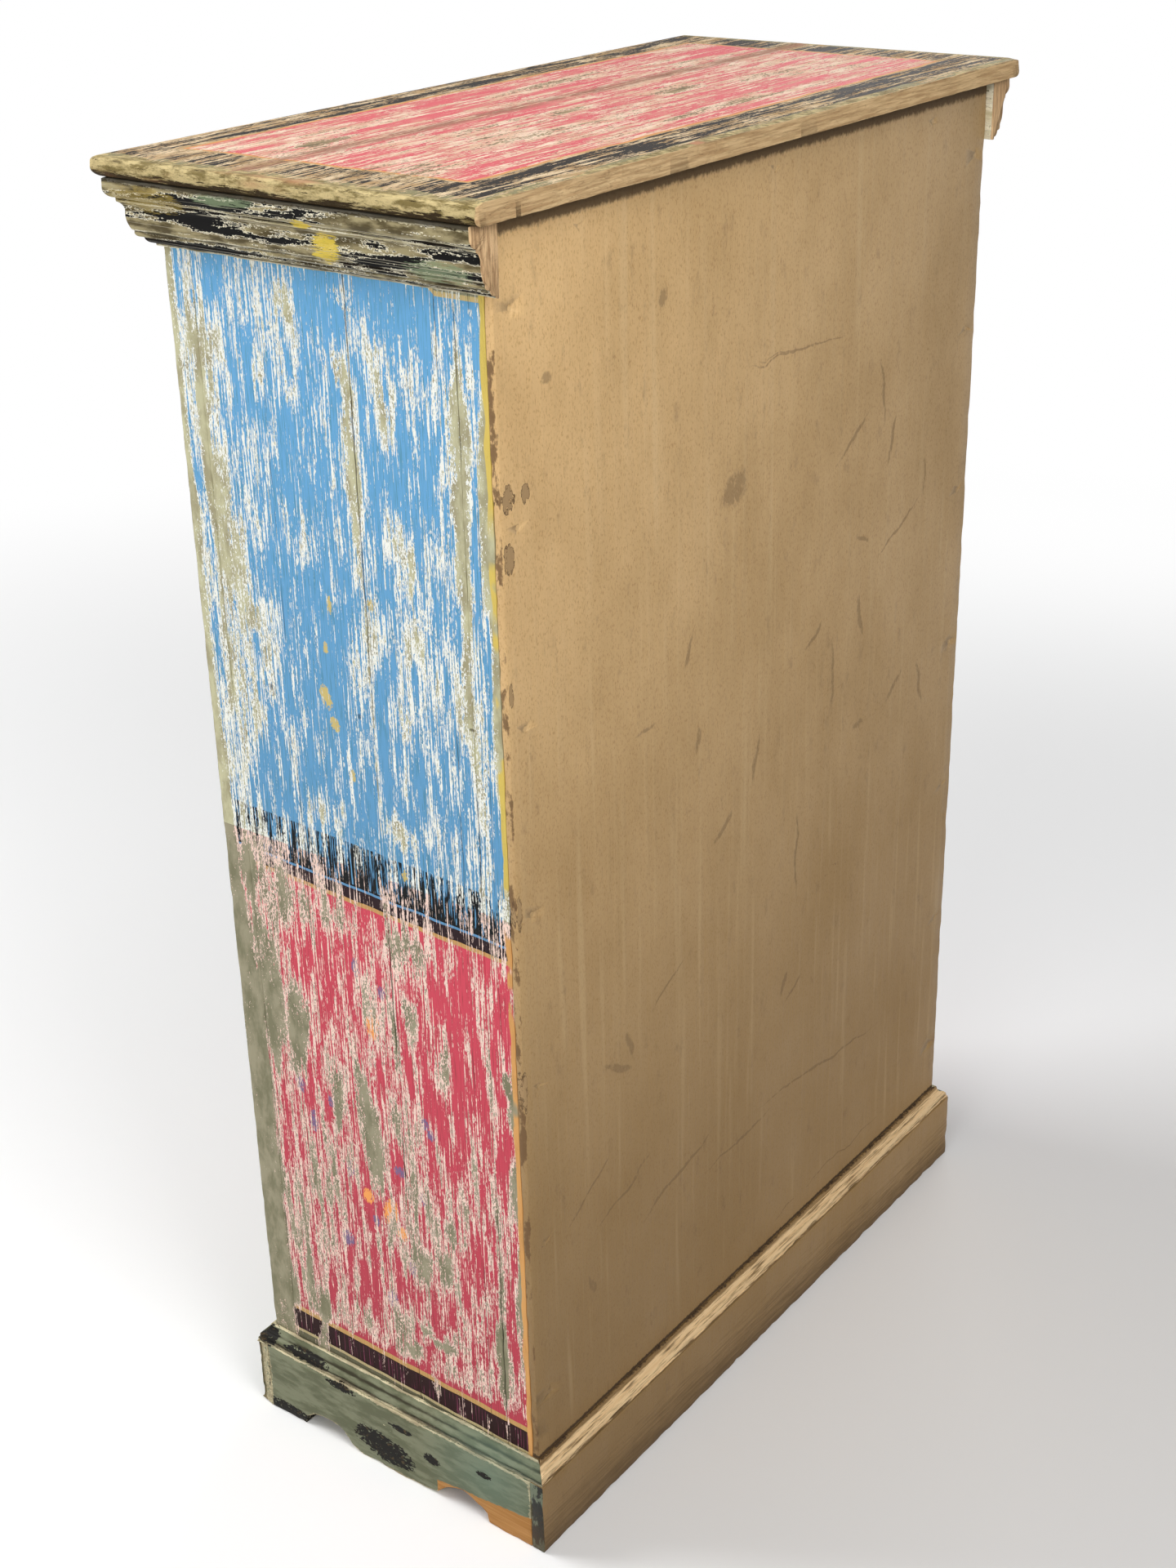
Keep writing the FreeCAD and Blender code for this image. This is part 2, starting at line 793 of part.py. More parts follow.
def bolt_screws(extra):
    x = bolt_axis()[0]
    high_z = door_top - bolt_plate_margin - bolt_end_margin
    low_z = door_top - bolt_plate_margin - bolt_plate_height + bolt_end_margin
    aside = bolt_plate_width / 2 - screw_head_radius - bolt_end_margin / 2
    screws = []
    for z in (low_z, high_z):
        for side in (-aside, aside):
            base = Vector(x + side, door_back_y + bolt_plate_thickness, z)
            screws.append(countersunk(base, FRONT, extra))
    return screws


def at_foot(shape):
    # The lower bolt's piece from the upper one's.
    return shape.mirror(Vector(0, 0, opening_mid_z), UP)


def button_centre():
    return Vector(door_meeting_x + button_edge_distance, front_y, button_height)


def button_screw(extra):
    # A round-headed screw with a washer under the button.
    centre = button_centre()
    head_out = washer_thickness + button_thickness + 2 * button_play
    base = centre + FRONT * head_out
    length = head_out + button_screw_depth
    shank = rod(base, button_screw_radius + extra, length, BACK)
    if extra:
        return shank
    washer = rod(centre, washer_radius, washer_thickness, FRONT)
    head = Part.makeCone(
        button_screw_head_radius,
        button_screw_head_radius / 2,
        button_screw_head_height,
        base,
        FRONT,
    )
    return joined([shank, washer, head])


def turn_button():
    # A wooden bar with round ends that turns on its screw, upright when undone.
    centre = button_centre()
    radius = button_width / 2
    reach = button_length / 2 - radius
    near_y = front_y - washer_thickness - button_play
    low = (centre.x - radius, near_y - button_thickness, button_height - reach)
    bar = box(low, (centre.x + radius, near_y, button_height + reach))
    ends = []
    for side in (-1, 1):
        base = Vector(centre.x, near_y, button_height + side * reach)
        ends.append(rod(base, radius, button_thickness, FRONT))
    hole_base = Vector(centre.x, near_y + 1, button_height)
    hole_radius = button_screw_radius + pin_clearance
    hole = rod(hole_base, hole_radius, button_thickness + 2, FRONT)
    return joined([bar] + ends).cut(hole)


def door_pieces(is_left):
    # One door's wooden pieces, drawn on the right-hand side.
    tenon = (door_tenon_length, door_tenon_thickness, door_tenon_shoulder)
    left = door_meeting_x + stile_width
    right = door_hinge_x - stile_width
    rails = {}
    for name, (low_z, high_z) in door_rails().items():
        low = (left, front_y, low_z)
        high = (right, door_back_y, high_z)
        tenon_y = front_y + door_thickness / 2
        rails[name] = tenoned_rail(low, high, tenon, tenon_y)
    edges = door_rails()
    spaces = {
        "lower_panel": (edges["bottom_rail"][1], edges["lock_rail"][0]),
        "upper_panel": (edges["lock_rail"][1], edges["top_rail"][0]),
    }
    pieces = {name: door_panel(low, high, 0) for name, (low, high) in spaces.items()}
    grooves = [door_panel(low, high, panel_expansion) for low, high in spaces.values()]
    holes = [knob(spindle_clearance)]
    for low_z in hinge_places():
        holes += hinge_screws(low_z, False, screw_clearance)
    if is_left:
        screws = bolt_screws(screw_clearance)
        holes += screws + [at_foot(screw) for screw in screws]
        holes.append(button_screw(screw_clearance))
    for name, rail in rails.items():
        for cut in grooves + holes:
            rail = rail.cut(cut)
        pieces[name] = rail

    meeting_low = (door_meeting_x, front_y, door_bottom)
    meeting = box(meeting_low, (left, door_back_y, door_top))
    cuts = list(rails.values()) + grooves + holes
    for cut in cuts:
        meeting = meeting.cut(cut)
    pieces["meeting_stile"] = meeting

    hinge_low = (right, front_y, door_bottom)
    hanging = box(hinge_low, (door_hinge_x, door_back_y, door_top))
    recesses = [hinge_leaf(low_z, False) for low_z in hinge_places()]
    for cut in list(rails.values()) + grooves + holes + recesses:
        hanging = hanging.cut(cut)
    pieces["hinge_stile"] = hanging
    pieces["knob"] = knob(0)
    return pieces


def make_door(side):
    # A framed and panelled door with its hinge leaves, screws and knob.
    is_left = side == "left"
    turn = mirrored if is_left else (lambda shape: shape)
    for name, shape in door_pieces(is_left).items():
        save(side + "_door_" + name, turn(shape))
    leaves = []
    screws = []
    for low_z in hinge_places():
        holes = hinge_screws(low_z, False, screw_clearance)
        leaves.append(turn(hinge_leaf(low_z, False).cut(Part.makeCompound(holes))))
        screws += hinge_screws(low_z, False, 0)
    if is_left:
        upper = bolt_screws(0)
        screws += upper + [at_foot(screw) for screw in upper]
    save(side + "_door_hinge_leaves", *leaves)
    save(side + "_door_screws", *[turn(screw) for screw in screws])


def make_door_furniture():
    # Barrel bolts and a turn button, all on the left door.
    holes = Part.makeCompound(bolt_screws(screw_clearance))
    plate = mirrored(bolt_plate_and_brackets().cut(holes))
    save("bolt_plates", plate, at_foot(plate))
    shaft = mirrored(bolt_rod())
    save("bolt_upper", shaft)
    save("bolt_lower", at_foot(shaft))
    save("turn_button", mirrored(turn_button()))
    save("turn_button_screw", mirrored(button_screw(0)))


os.makedirs("parts", exist_ok=True)
make_top()
make_cornice()
make_front_frame()
make_side_planks()
make_back()
make_boards()
make_plinth()
make_plinth_moulding()
make_post_hinges()
make_keepers()
make_door("right")
make_door("left")
make_door_furniture()
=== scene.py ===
import json
import math

import bmesh
import bpy
import numpy as np
from mathutils import Matrix, Vector, noise

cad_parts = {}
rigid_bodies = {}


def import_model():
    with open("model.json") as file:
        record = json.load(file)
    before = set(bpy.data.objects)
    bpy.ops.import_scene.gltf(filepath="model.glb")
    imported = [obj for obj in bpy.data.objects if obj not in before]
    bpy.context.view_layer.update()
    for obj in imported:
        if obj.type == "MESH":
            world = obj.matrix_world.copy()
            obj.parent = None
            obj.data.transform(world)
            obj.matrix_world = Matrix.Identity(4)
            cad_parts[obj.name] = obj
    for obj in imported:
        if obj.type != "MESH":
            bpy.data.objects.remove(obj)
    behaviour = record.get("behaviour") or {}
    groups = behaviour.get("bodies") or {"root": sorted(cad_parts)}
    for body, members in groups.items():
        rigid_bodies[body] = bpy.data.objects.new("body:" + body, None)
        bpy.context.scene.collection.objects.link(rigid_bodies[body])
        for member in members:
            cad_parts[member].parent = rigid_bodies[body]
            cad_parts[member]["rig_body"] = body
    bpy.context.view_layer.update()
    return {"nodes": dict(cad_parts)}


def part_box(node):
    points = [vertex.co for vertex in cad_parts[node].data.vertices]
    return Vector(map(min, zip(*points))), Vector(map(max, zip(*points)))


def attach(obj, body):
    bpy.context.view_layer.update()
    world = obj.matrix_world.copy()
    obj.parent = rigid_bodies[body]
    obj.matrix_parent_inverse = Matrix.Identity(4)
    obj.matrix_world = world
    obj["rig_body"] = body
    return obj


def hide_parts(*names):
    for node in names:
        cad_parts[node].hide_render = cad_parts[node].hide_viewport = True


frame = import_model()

mm = 0.001
# the setting that the word after the dot stands for in a kind of node, such as Math.ADD
modes = {"Math": "operation", "VectorMath": "operation", "MapRange": "interpolation_type", "Mix": "data_type",
         "TexGradient": "gradient_type", "Mapping": "vector_type"}
# the sockets of a list of links, and the output, where they aren't the first ones
sockets = {"Mix": ((0, 2, 3), 0), "Mix.RGBA": ((0, 6, 7), 2)}


def linear(sRgbHex):
    channels = [int(sRgbHex[i:i + 2], 16) / 255 for i in (1, 3, 5)]
    return tuple(c / 12.92 if c <= 0.04045 else ((c + 0.055) / 1.055) ** 2.4 for c in channels) + (1.0,)


def addNode(kind, links, out=0, stops=None, tree=None, **settings):
    # links: a list by position or a dictionary by socket; a socket is joined, anything else is set;
    # the node goes into the tree that the first joined socket is in, unless the tree is given
    places, out = sockets.get(kind, (range(len(links)), out))
    links = links if isinstance(links, dict) else dict(zip(places, links))
    tree = tree or next(value.id_data for value in links.values() if isinstance(value, bpy.types.NodeSocket))
    kind, _, mode = kind.partition(".")
    node = tree.nodes.new("ShaderNode" + kind)
    if mode:
        settings[modes[kind]] = mode
    for name, value in settings.items():
        setattr(node, name, value)
    for key, value in links.items():
        if isinstance(value, bpy.types.NodeSocket):
            tree.links.new(value, node.inputs[key])
        else:
            node.inputs[key].default_value = linear(value) if isinstance(value, str) else value
    if stops:
        elements = node.color_ramp.elements
        node.color_ramp.interpolation = stops[0]
        while len(elements) < len(stops[1]):
            elements.new(1.0)
        for element, (position, colour) in zip(elements, stops[1]):
            element.position = position
            element.color = linear(colour)
    return node.outputs[out] if len(node.outputs) else node


def summed(base, *terms):
    # base and each (value, weight) on top of it
    for value, weight in terms:
        base = addNode("Math.MULTIPLY_ADD", [value, weight, base])
    return base


def greatest(*values):
    answer = values[0]
    for value in values[1:]:
        answer = addNode("Math.MAXIMUM", [answer, value])
    return answer


def apart(value, centre=0):
    # how far a value lies from a centre
    return addNode("Math.ABSOLUTE", [addNode("Math.SUBTRACT", [value, centre])])


def outsideBox(u, v, box, wobble):
    # how far outside a box, less than 0 inside; box: centre u, centre v, half width, half height, in mm
    centreU, centreV, halfU, halfV = (length * mm for length in box)
    sideways = addNode("Math.SUBTRACT", [apart(u, centreU), halfU])
    upwards = addNode("Math.SUBTRACT", [apart(v, centreV), halfV])
    return summed(greatest(sideways, upwards), (wobble, 1))


def startMaterial(name):
    material = bpy.data.materials.new(name)
    material.use_nodes = True
    material.node_tree.nodes.clear()
    return material, addNode("TexCoord", [], 3, tree=material.node_tree)


def finishMaterial(coat, depth, specular=0.5, metallic=0):
    # coat: (colour, roughness, height); depth: how far, in metres, a height of 1 stands proud
    normal = addNode("Bump", {"Height": coat[2], "Distance": depth, "Strength": 1})
    shader = {"Base Color": coat[0], "Roughness": coat[1], "Normal": normal, "Specular IOR Level": specular}
    addNode("OutputMaterial", {"Surface": addNode("BsdfPrincipled", {**shader, "Metallic": metallic})})


def grainNoise(place, axis, along, across, detail=4, rough=0.6, shift=0):
    # noise drawn out along the grain: along and across are the lengths of one cell, in mm
    scale = [1000 / across] * 3
    scale[axis] = 1000 / along
    moved = addNode("Mapping", {"Vector": place, "Location": (shift, shift * 1.3, shift * 0.7), "Scale": scale})
    return addNode("TexNoise", {"Vector": moved, "Scale": 1, "Detail": detail, "Roughness": rough})


def spotMask(place, axis, marks):
    # the greatest of a list of ovals, each 1 at its centre and 0 at its rim, flat along one axis;
    # a mark is (u, v, half width, half height), in mm, and a turn in degrees if it has one
    spots = []
    for u, v, halfU, halfV, *turn in marks:
        location, scale, rotation = [0] * 3, [10] * 3, [0] * 3
        for k, centre, half in zip([k for k in range(3) if k != axis], (u, v), (halfU, halfV)):
            location[k] = centre * mm
            scale[k] = half * mm
        rotation[axis] = math.radians(sum(turn))
        placed = {"Vector": place, "Location": location, "Rotation": rotation, "Scale": scale}
        spots.append(addNode("TexGradient.SPHERICAL", [addNode("Mapping.TEXTURE", placed)], 1))
    return greatest(*spots)


def band(value, low, high, soft):
    # 1 between low and high, metres
    rise = addNode("MapRange.SMOOTHSTEP", [value, low - soft, low + soft])
    fall = addNode("MapRange.SMOOTHSTEP", [value, high - soft, high + soft, 1, 0])
    return addNode("Math.MULTIPLY", [rise, fall])


def paintLeft(worn, ragged, gain, level, edge=0.02):
    # how much of a coat stays: level is the wear at which half of it is gone, gain how ragged it goes
    scraped = addNode("Math.MULTIPLY_ADD", [ragged, gain, worn])
    limit = level + gain / 2
    return addNode("MapRange.SMOOTHSTEP", [scraped, limit - edge, limit + edge, 1, 0])


def layCoat(under, colour, roughness, thickness, left):
    # under and the answer: (colour, roughness, height)
    return (addNode("Mix.RGBA", [left, under[0], colour]), addNode("Mix", [left, under[1], roughness]),
            addNode("Math.MULTIPLY_ADD", [left, thickness, under[2]]))


def blended(first, second, share, low=0.35, high=0.65, way="MIX"):
    # two colours over a noise
    factor = addNode("MapRange.SMOOTHSTEP", [share, low, high])
    return addNode("Mix.RGBA", [factor, first, second], blend_type=way)


def raggedNoise(place, axis, streak, speckle, share, shift=0):
    # long streaks along the grain broken by small specks; streak and speckle are (along, across) in mm
    long = grainNoise(place, axis, *streak, 5, 0.62, shift)
    short = grainNoise(place, axis, *speckle, 2, 0.6, shift + 5)
    return addNode("Mix", [share, long, short])


def rubbedNoises(place, axis, sizes, wobble):
    # the noises of a rubbed coat: slow drift, clusters, wobble of an edge, streaks, grain, mottle, fine strokes
    wander = grainNoise(place, axis, 40, 30, 2, 0.5, 3)
    return (
        grainNoise(place, axis, *sizes["drift"]), grainNoise(place, axis, *sizes["cluster"], 3, 0.55, 6),
        addNode("MapRange", [wander, 0.2, 0.8, -wobble, wobble]), raggedNoise(place, axis, *sizes["ragged"]),
        raggedNoise(place, axis, *sizes["grainy"], 9), grainNoise(place, axis, *sizes["mottle"], 4, 0.6, 7),
        grainNoise(place, axis, *sizes["fine"], 3, 0.6, 2))


def tornSpots(place, axis, marks, ragged):
    # ovals with torn rims: about 0.5 to 1 inside, less than 0.3 outside
    torn = addNode("MapRange", [ragged, 0.38, 0.62, 1.7, 0.3])
    return addNode("Math.MULTIPLY", [spotMask(place, axis, marks), torn])


def colourBands(value, bands):
    # bands: (lowest, highest, [(start, colour), ...]) in mm; one ramp, so that each edge is within 1/256 of it
    low, high, starts = bands
    share = addNode("MapRange", [value, low * mm, high * mm])
    stops = [((start - low) / (high - low), colour) for start, colour in starts]
    return addNode("ValToRGB", [share], stops=("CONSTANT", stops))


def recoloured(coat, colour, share):
    return (addNode("Mix.RGBA", [share, coat[0], colour]), *coat[1:])


def bareInside(place, axis):
    return blended(*bareWoodColours, grainNoise(place, axis, 90, 4, 4, 0.6, 1))


def inHollows(place, mottle):
    # dirt and painted shade in the hollows
    held = addNode("Math.MULTIPLY", [wearOnPoints(place, "crease"), mottle])
    return addNode("MapRange.SMOOTHSTEP", [held, 0.12, 0.45, 0, 0.85])


def wearOnPoints(place, name):
    return addNode("Attribute", [], 2, tree=place.id_data, attribute_name=name)


def nearestArris(points, arrises):
    # distance from each point to the nearest of the given edges
    nearest = np.full(len(points), 1.0)
    for start, end in arrises:
        run = end - start
        share = np.clip((points - start) @ run / max(run @ run, 1e-12), 0, 1)
        nearest = np.minimum(nearest, np.linalg.norm(points - start - share[:, None] * run, axis=1))
    return nearest


def cutGrid(bm, steps):
    # cuts the faces into a grid, so that wear has points to sit on; steps in mm, 0 for none
    for axis, step in enumerate(steps):
        if not step:
            continue
        low = min(v.co[axis] for v in bm.verts)
        high = max(v.co[axis] for v in bm.verts)
        count = max(1, round((high - low) / (step * mm)))
        normal = Vector([float(k == axis) for k in range(3)])
        for i in range(1, count):
            geometry, cut = bm.verts[:] + bm.edges[:] + bm.faces[:], normal * (low + (high - low) * i / count)
            bmesh.ops.bisect_plane(bm, geom=geometry, plane_co=cut, plane_no=normal, dist=1e-6)


def wornPiece(nodeName, kind, material, grid):
    # a copy of the CAD node with softened, uneven arrises and its wear stored on the points
    source, (lowest, highest) = frame["nodes"][nodeName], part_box(nodeName)
    slotName, *lengths, chipsPerMetre = woodKinds[kind]
    radius, shortest, chipDepth, reach, rub = (length * mm for length in lengths)
    flat, arris, smooth = (math.radians(angle) for angle in (0.5, 30, 40))  # less, more and less than this
    bm = bmesh.new()
    bm.from_mesh(source.data)
    bmesh.ops.remove_doubles(bm, verts=bm.verts, dist=1e-5)
    bmesh.ops.dissolve_limit(bm, angle_limit=flat, verts=bm.verts, edges=bm.edges)
    sharp = [e for e in bm.edges if e.is_manifold and e.calc_length() > shortest and e.calc_face_angle() > arris]
    proud = [[np.array(v.co) for v in e.verts] for e in sharp if e.calc_face_angle_signed() > 0]
    inner = [[np.array(v.co) for v in e.verts] for e in sharp if e.calc_face_angle_signed() < 0]
    bmesh.ops.bevel(bm, geom=sharp, offset=radius, offset_type="OFFSET", segments=2, profile=0.5, affect="EDGES",
                    clamp_overlap=False, material=-1)
    cutGrid(bm, grid)
    bm.normal_update()
    points = np.array([v.co for v in bm.verts])
    fromArris = nearestArris(points, proud)
    for vertex, away in zip(bm.verts, fromArris):
        share = math.exp(-(away / reach) ** 2)
        if share > 0.02:
            spot = vertex.co * chipsPerMetre
            chip = max(0, 0.25 + noise.noise(spot) + 0.5 * noise.noise(spot * 2.7))
            vertex.co -= vertex.normal * share * chipDepth * chip
    for centre, wide, depth in dents.get(nodeName, ()):
        for vertex in bm.verts:
            near = (vertex.co - Vector(centre) * mm).length / (wide * mm)
            if near < 1:
                vertex.co -= vertex.normal * depth * mm * (1 - near * near) ** 2
    for vertex in bm.verts:
        vertex.co = [min(max(vertex.co[k], lowest[k]), highest[k]) for k in range(3)]
    mesh = bpy.data.meshes.new("worn_" + nodeName)
    bm.to_mesh(mesh)
    bm.free()
    nothing = np.zeros(len(points))
    values = {
        "arris": np.exp(-fromArris / rub),
        "crease": np.exp(-nearestArris(points, inner) / rub) if inner else nothing,
        "scraped": scraping[kind](*points.T) if kind in scraping else nothing,
    }
    for name, value in values.items():
        mesh.attributes.new(name, "FLOAT", "POINT").data.foreach_set("value", value.astype(np.float32))
    mesh.shade_smooth()
    mesh.set_sharp_from_angle(angle=smooth)
    mesh.materials.append(material)
    piece = bpy.data.objects.new("worn_" + nodeName, mesh)
    bpy.context.scene.collection.objects.link(piece)
    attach(piece, source["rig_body"])
    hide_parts(nodeName)


def ovals(u, v, marks, along):
    # wear of a list of ovals: (u, v, half width, half height), in mm, strength, turn in degrees if any;
    # along: 0 or 1, the direction of the grain, along which the rims wander most
    u, v = u / mm, v / mm
    cells, shifts = ((40, 9), (16, 5)) if along == 0 else ((9, 40), (5, 16))
    spots = [[noise.noise((a / cells[0], b / cells[1], k)) for k in (0, 7.3)] for a, b in zip(u, v)]
    u, v = u + np.array(spots)[:, 0] * shifts[0], v + np.array(spots)[:, 1] * shifts[1]
    total = np.zeros(len(u))
    for centreU, centreV, halfU, halfV, strength, *turn in marks:
        c, s = math.cos(math.radians(sum(turn))), math.sin(math.radians(sum(turn)))
        du, dv = u - centreU, v - centreV
        away = np.hypot((du * c + dv * s) / halfU, (dv * c - du * s) / halfV)
        total = np.maximum(total, strength * np.clip((1.6 - away) / 1.2, 0, 1))
    return total


bareWoodColours = ("#A88B65", "#876B4A")
sides = {
    # the top coat's colours from the floor up, each with the height where it starts, in mm
    "footBand": (100, 150, [
        (100, "#8A866C"), (103.5, "#F8E2AC"), (107, "#38181A"), (131.5, "#FFCB80"), (137.5, "#F0586C")]),
    "waistBand": (645, 725, [
        (645, "#F0586C"), (651, "#E3B070"), (655.5, "#301C21"), (667.2, "#6FA6D6"), (669.8, "#131416"),
        (714, "#6DACDB")]),
    "headBand": (1200, 1240, [(1200, "#6DACDB"), (1219, "#D6BE86"), (1223, "#96937A")]),
    "slope": 0.03,  # the bands run down towards the back
    "redBelow": 0.69, "frontSeam": -0.1632, "innerFace": 0.376,  # z, y and x, in metres
    "noises": {
        "drift": (150, 60, 2, 0.5), "cluster": (66, 10), "ragged": ((52, 1.7), (4, 1.5), 0.3),
        "grainy": ((12, 2.2), (2.8, 1.4), 0.6), "mottle": (26, 12), "fine": (30, 1.2)},
    # changes of wear: direction, from and to in metres, how much
    "wearAlong": [
        ("z", 0.64, 0.4, 0.03), ("z", 0.4, 0.2, 0.03), ("z", 0.645, 0.66, -0.02), ("z", 0.82, 0.76, -0.04),
        ("z", 0.73, 0.71, 0.04), ("z", 0.665, 0.645, -0.04), ("z", 0.15, 0.13, -0.36), ("y", -0.03, -0.12, 0.1),
        ("z", 1.17, 1.21, -0.14)],
    "wear": -0.48, "fadeAndShade": (0.51, 1.02),  # brightness of the top coat at the foot and under the cornice; darker towards the foot, partly painted shade
    "oldKhaki": ("#C9C6A2", "#A69F80"), "oldGreen": ("#A09980", "#7F7C62"),
    "undercoat": ("#F7F8F0", "#FBDDCF"),  # under the blue and under the red
    "shade": "#CFDBC9",
    "rearLine": {"low": 0.1727, "high": 0.18, "yellow": "#DCC264", "orange": "#DDA463"},
    "edgeBrown": {"from": 0.1843, "full": 0.1858, "colour": "#5A4128"},
    "cracks": [(-61, 0.35), (36, 0.7), (39, 0.3), (129, 0.45), (147.8, 0.6), (163, 0.3)],  # y, half width
    "knots": [(-84, 846, 3, 5), (20, 843, 2.5, 4), (146, 862, 4, 2)],
    # how far the wear reaches in from the front and from the rear: (z, y) in metres
    "frontMargin": [
        (0.1, -0.134), (0.17, -0.137), (0.44, -0.136), (0.53, -0.139), (0.6, -0.146), (0.66, -0.152), (0.78, -0.154),
        (0.9, -0.158), (1.07, -0.159), (1.28, -0.158)],
    "rearMargin": [
        (0.1, 0.184), (0.65, 0.183), (0.7, 0.18), (0.79, 0.175), (0.866, 0.171), (0.936, 0.173), (1, 0.166),
        (1.07, 0.165), (1.127, 0.168), (1.15, 0.173), (1.165, 0.188), (1.28, 0.19)],
    "scrapes": [
        (-136, 1085, 4, 66, 1), (27, 1211, 8, 8, 0.47), (26, 1155, 6, 15, 0.58), (32, 1068, 4, 74, 0.95),
        (148, 1118, 8, 44, 1), (146, 1030, 6, 70, 0.95), (145, 930, 4, 60, 0.5), (-33, 1196, 8, 18, 0.33),
        (-62, 1127, 7, 15, 0.29), (-31, 1118, 6, 16, 0.33), (71, 1142, 10, 38, 0.28), (72, 1116, 5, 20, 0.45),
        (-120, 1030, 9, 50, 0.3), (-117, 950, 15, 60, 0.33), (-119, 865, 13, 60, 0.33), (-24, 986, 8, 22, 0.29),
        (76, 1019, 6, 22, 0.36), (88, 985, 13, 26, 0.23), (-95, 913, 6, 9, 0.54), (-84, 838, 6, 14, 0.33),
        (24, 900, 7, 36, 0.29), (97, 938, 12, 28, 0.28), (72, 851, 8, 14, 0.25), (139, 893, 6, 36, 0.26),
        (153, 830, 9, 44, 0.28), (60, 738, 24, 14, 0.42), (-32, 735, 20, 16, 0.3), (-115, 690, 11, 20, 0.21),
        (-138, 648, 14, 14, 0.85), (-84, 628, 40, 26, 0.42), (-22, 632, 34, 18, 0.36), (55, 622, 24, 20, 0.45),
        (-128, 573, 12, 24, 0.54), (-121, 522, 12, 60, 0.9), (-90, 492, 10, 44, 0.9, -6), (-6, 400, 11, 56, 1, 8),
        (-44, 430, 5, 34, 0.9), (3, 552, 10, 24, 0.23), (53, 549, 9, 26, 0.43), (92, 518, 9, 34, 0.21),
        (166, 527, 6, 12, 0.85), (179, 488, 9, 24, 1), (178, 410, 9, 38, 1), (126, 393, 14, 36, 0.19),
        (2, 288, 40, 38, 0.18), (-70, 330, 26, 60, 0.18), (34, 158, 6, 11, 0.95), (67, 185, 5, 22, 0.85, 70),
        (147, 204, 6, 34, 1), (-92, 122, 6, 38, 1, -10), (94, 324, 10, 15, 0.45), (53, 272, 9, 20, 0.52),
        (83, 278, 6, 16, 0.47), (176, 270, 6, 66, 0.9), (60, 120, 7, 14, 0.58), (-30, 168, 4, 16, 0.5),
        (92, 196, 5, 12, 0.58), (14, 170, 5, 22, 0.5)],
    # what is left of small dabs of colour: (y, z, half width, half height, turn)
    "dabs": {
        "#DCC060": [
            (-18, 852, 9, 17, 20), (-10, 828, 8, 11, 30), (42, 950, 6, 8), (7, 782, 5, 10), (-6, 940, 4, 13),
            (-14, 899, 5, 9), (30, 1010, 5, 8), (60, 700, 5, 8)],
        "#FFB25E": [(8, 528, 13, 24), (14, 318, 13, 25, -12), (-14, 326, 10, 13), (27, 298, 10, 12)],
        "#6F6C92": [
            (-94, 426, 9, 16, 10), (-80, 388, 9, 18), (-8, 584, 7, 14), (22, 566, 6, 12), (-36, 350, 7, 16),
            (30, 372, 11, 9), (58, 352, 8, 12), (-54, 420, 6, 10), (72, 430, 7, 9), (-46, 262, 12, 14),
            (38, 262, 6, 16), (8, 212, 9, 16), (-6, 300, 7, 9), (66, 440, 7, 11)]},
}


doors = {
    "panelCentre": 173.7, "panelHalf": 110.2,
    "upper": (936, 215), "lower": (435, 220),  # centre and half height of each panel
    "frame": ("#84907A", "#6C785F"),
    "field": {"upper": "#66A6D8", "lower": "#D9566A"}, "line": {"upper": "#E3C050", "lower": "#E2A04A"},
    "slopes": {"upper": "#23262E", "lower": "#2B2027"},
    "oldPaint": ("#8B967C", "#A79C7B"), "undercoat": "#F2EBDA", "waist": ("#1F2125", 0.6625, 0.7135),
    "wear": {"frame": -0.8, "panel": -0.66}, "backFace": {"frame": -0.144, "panel": -0.149},
}


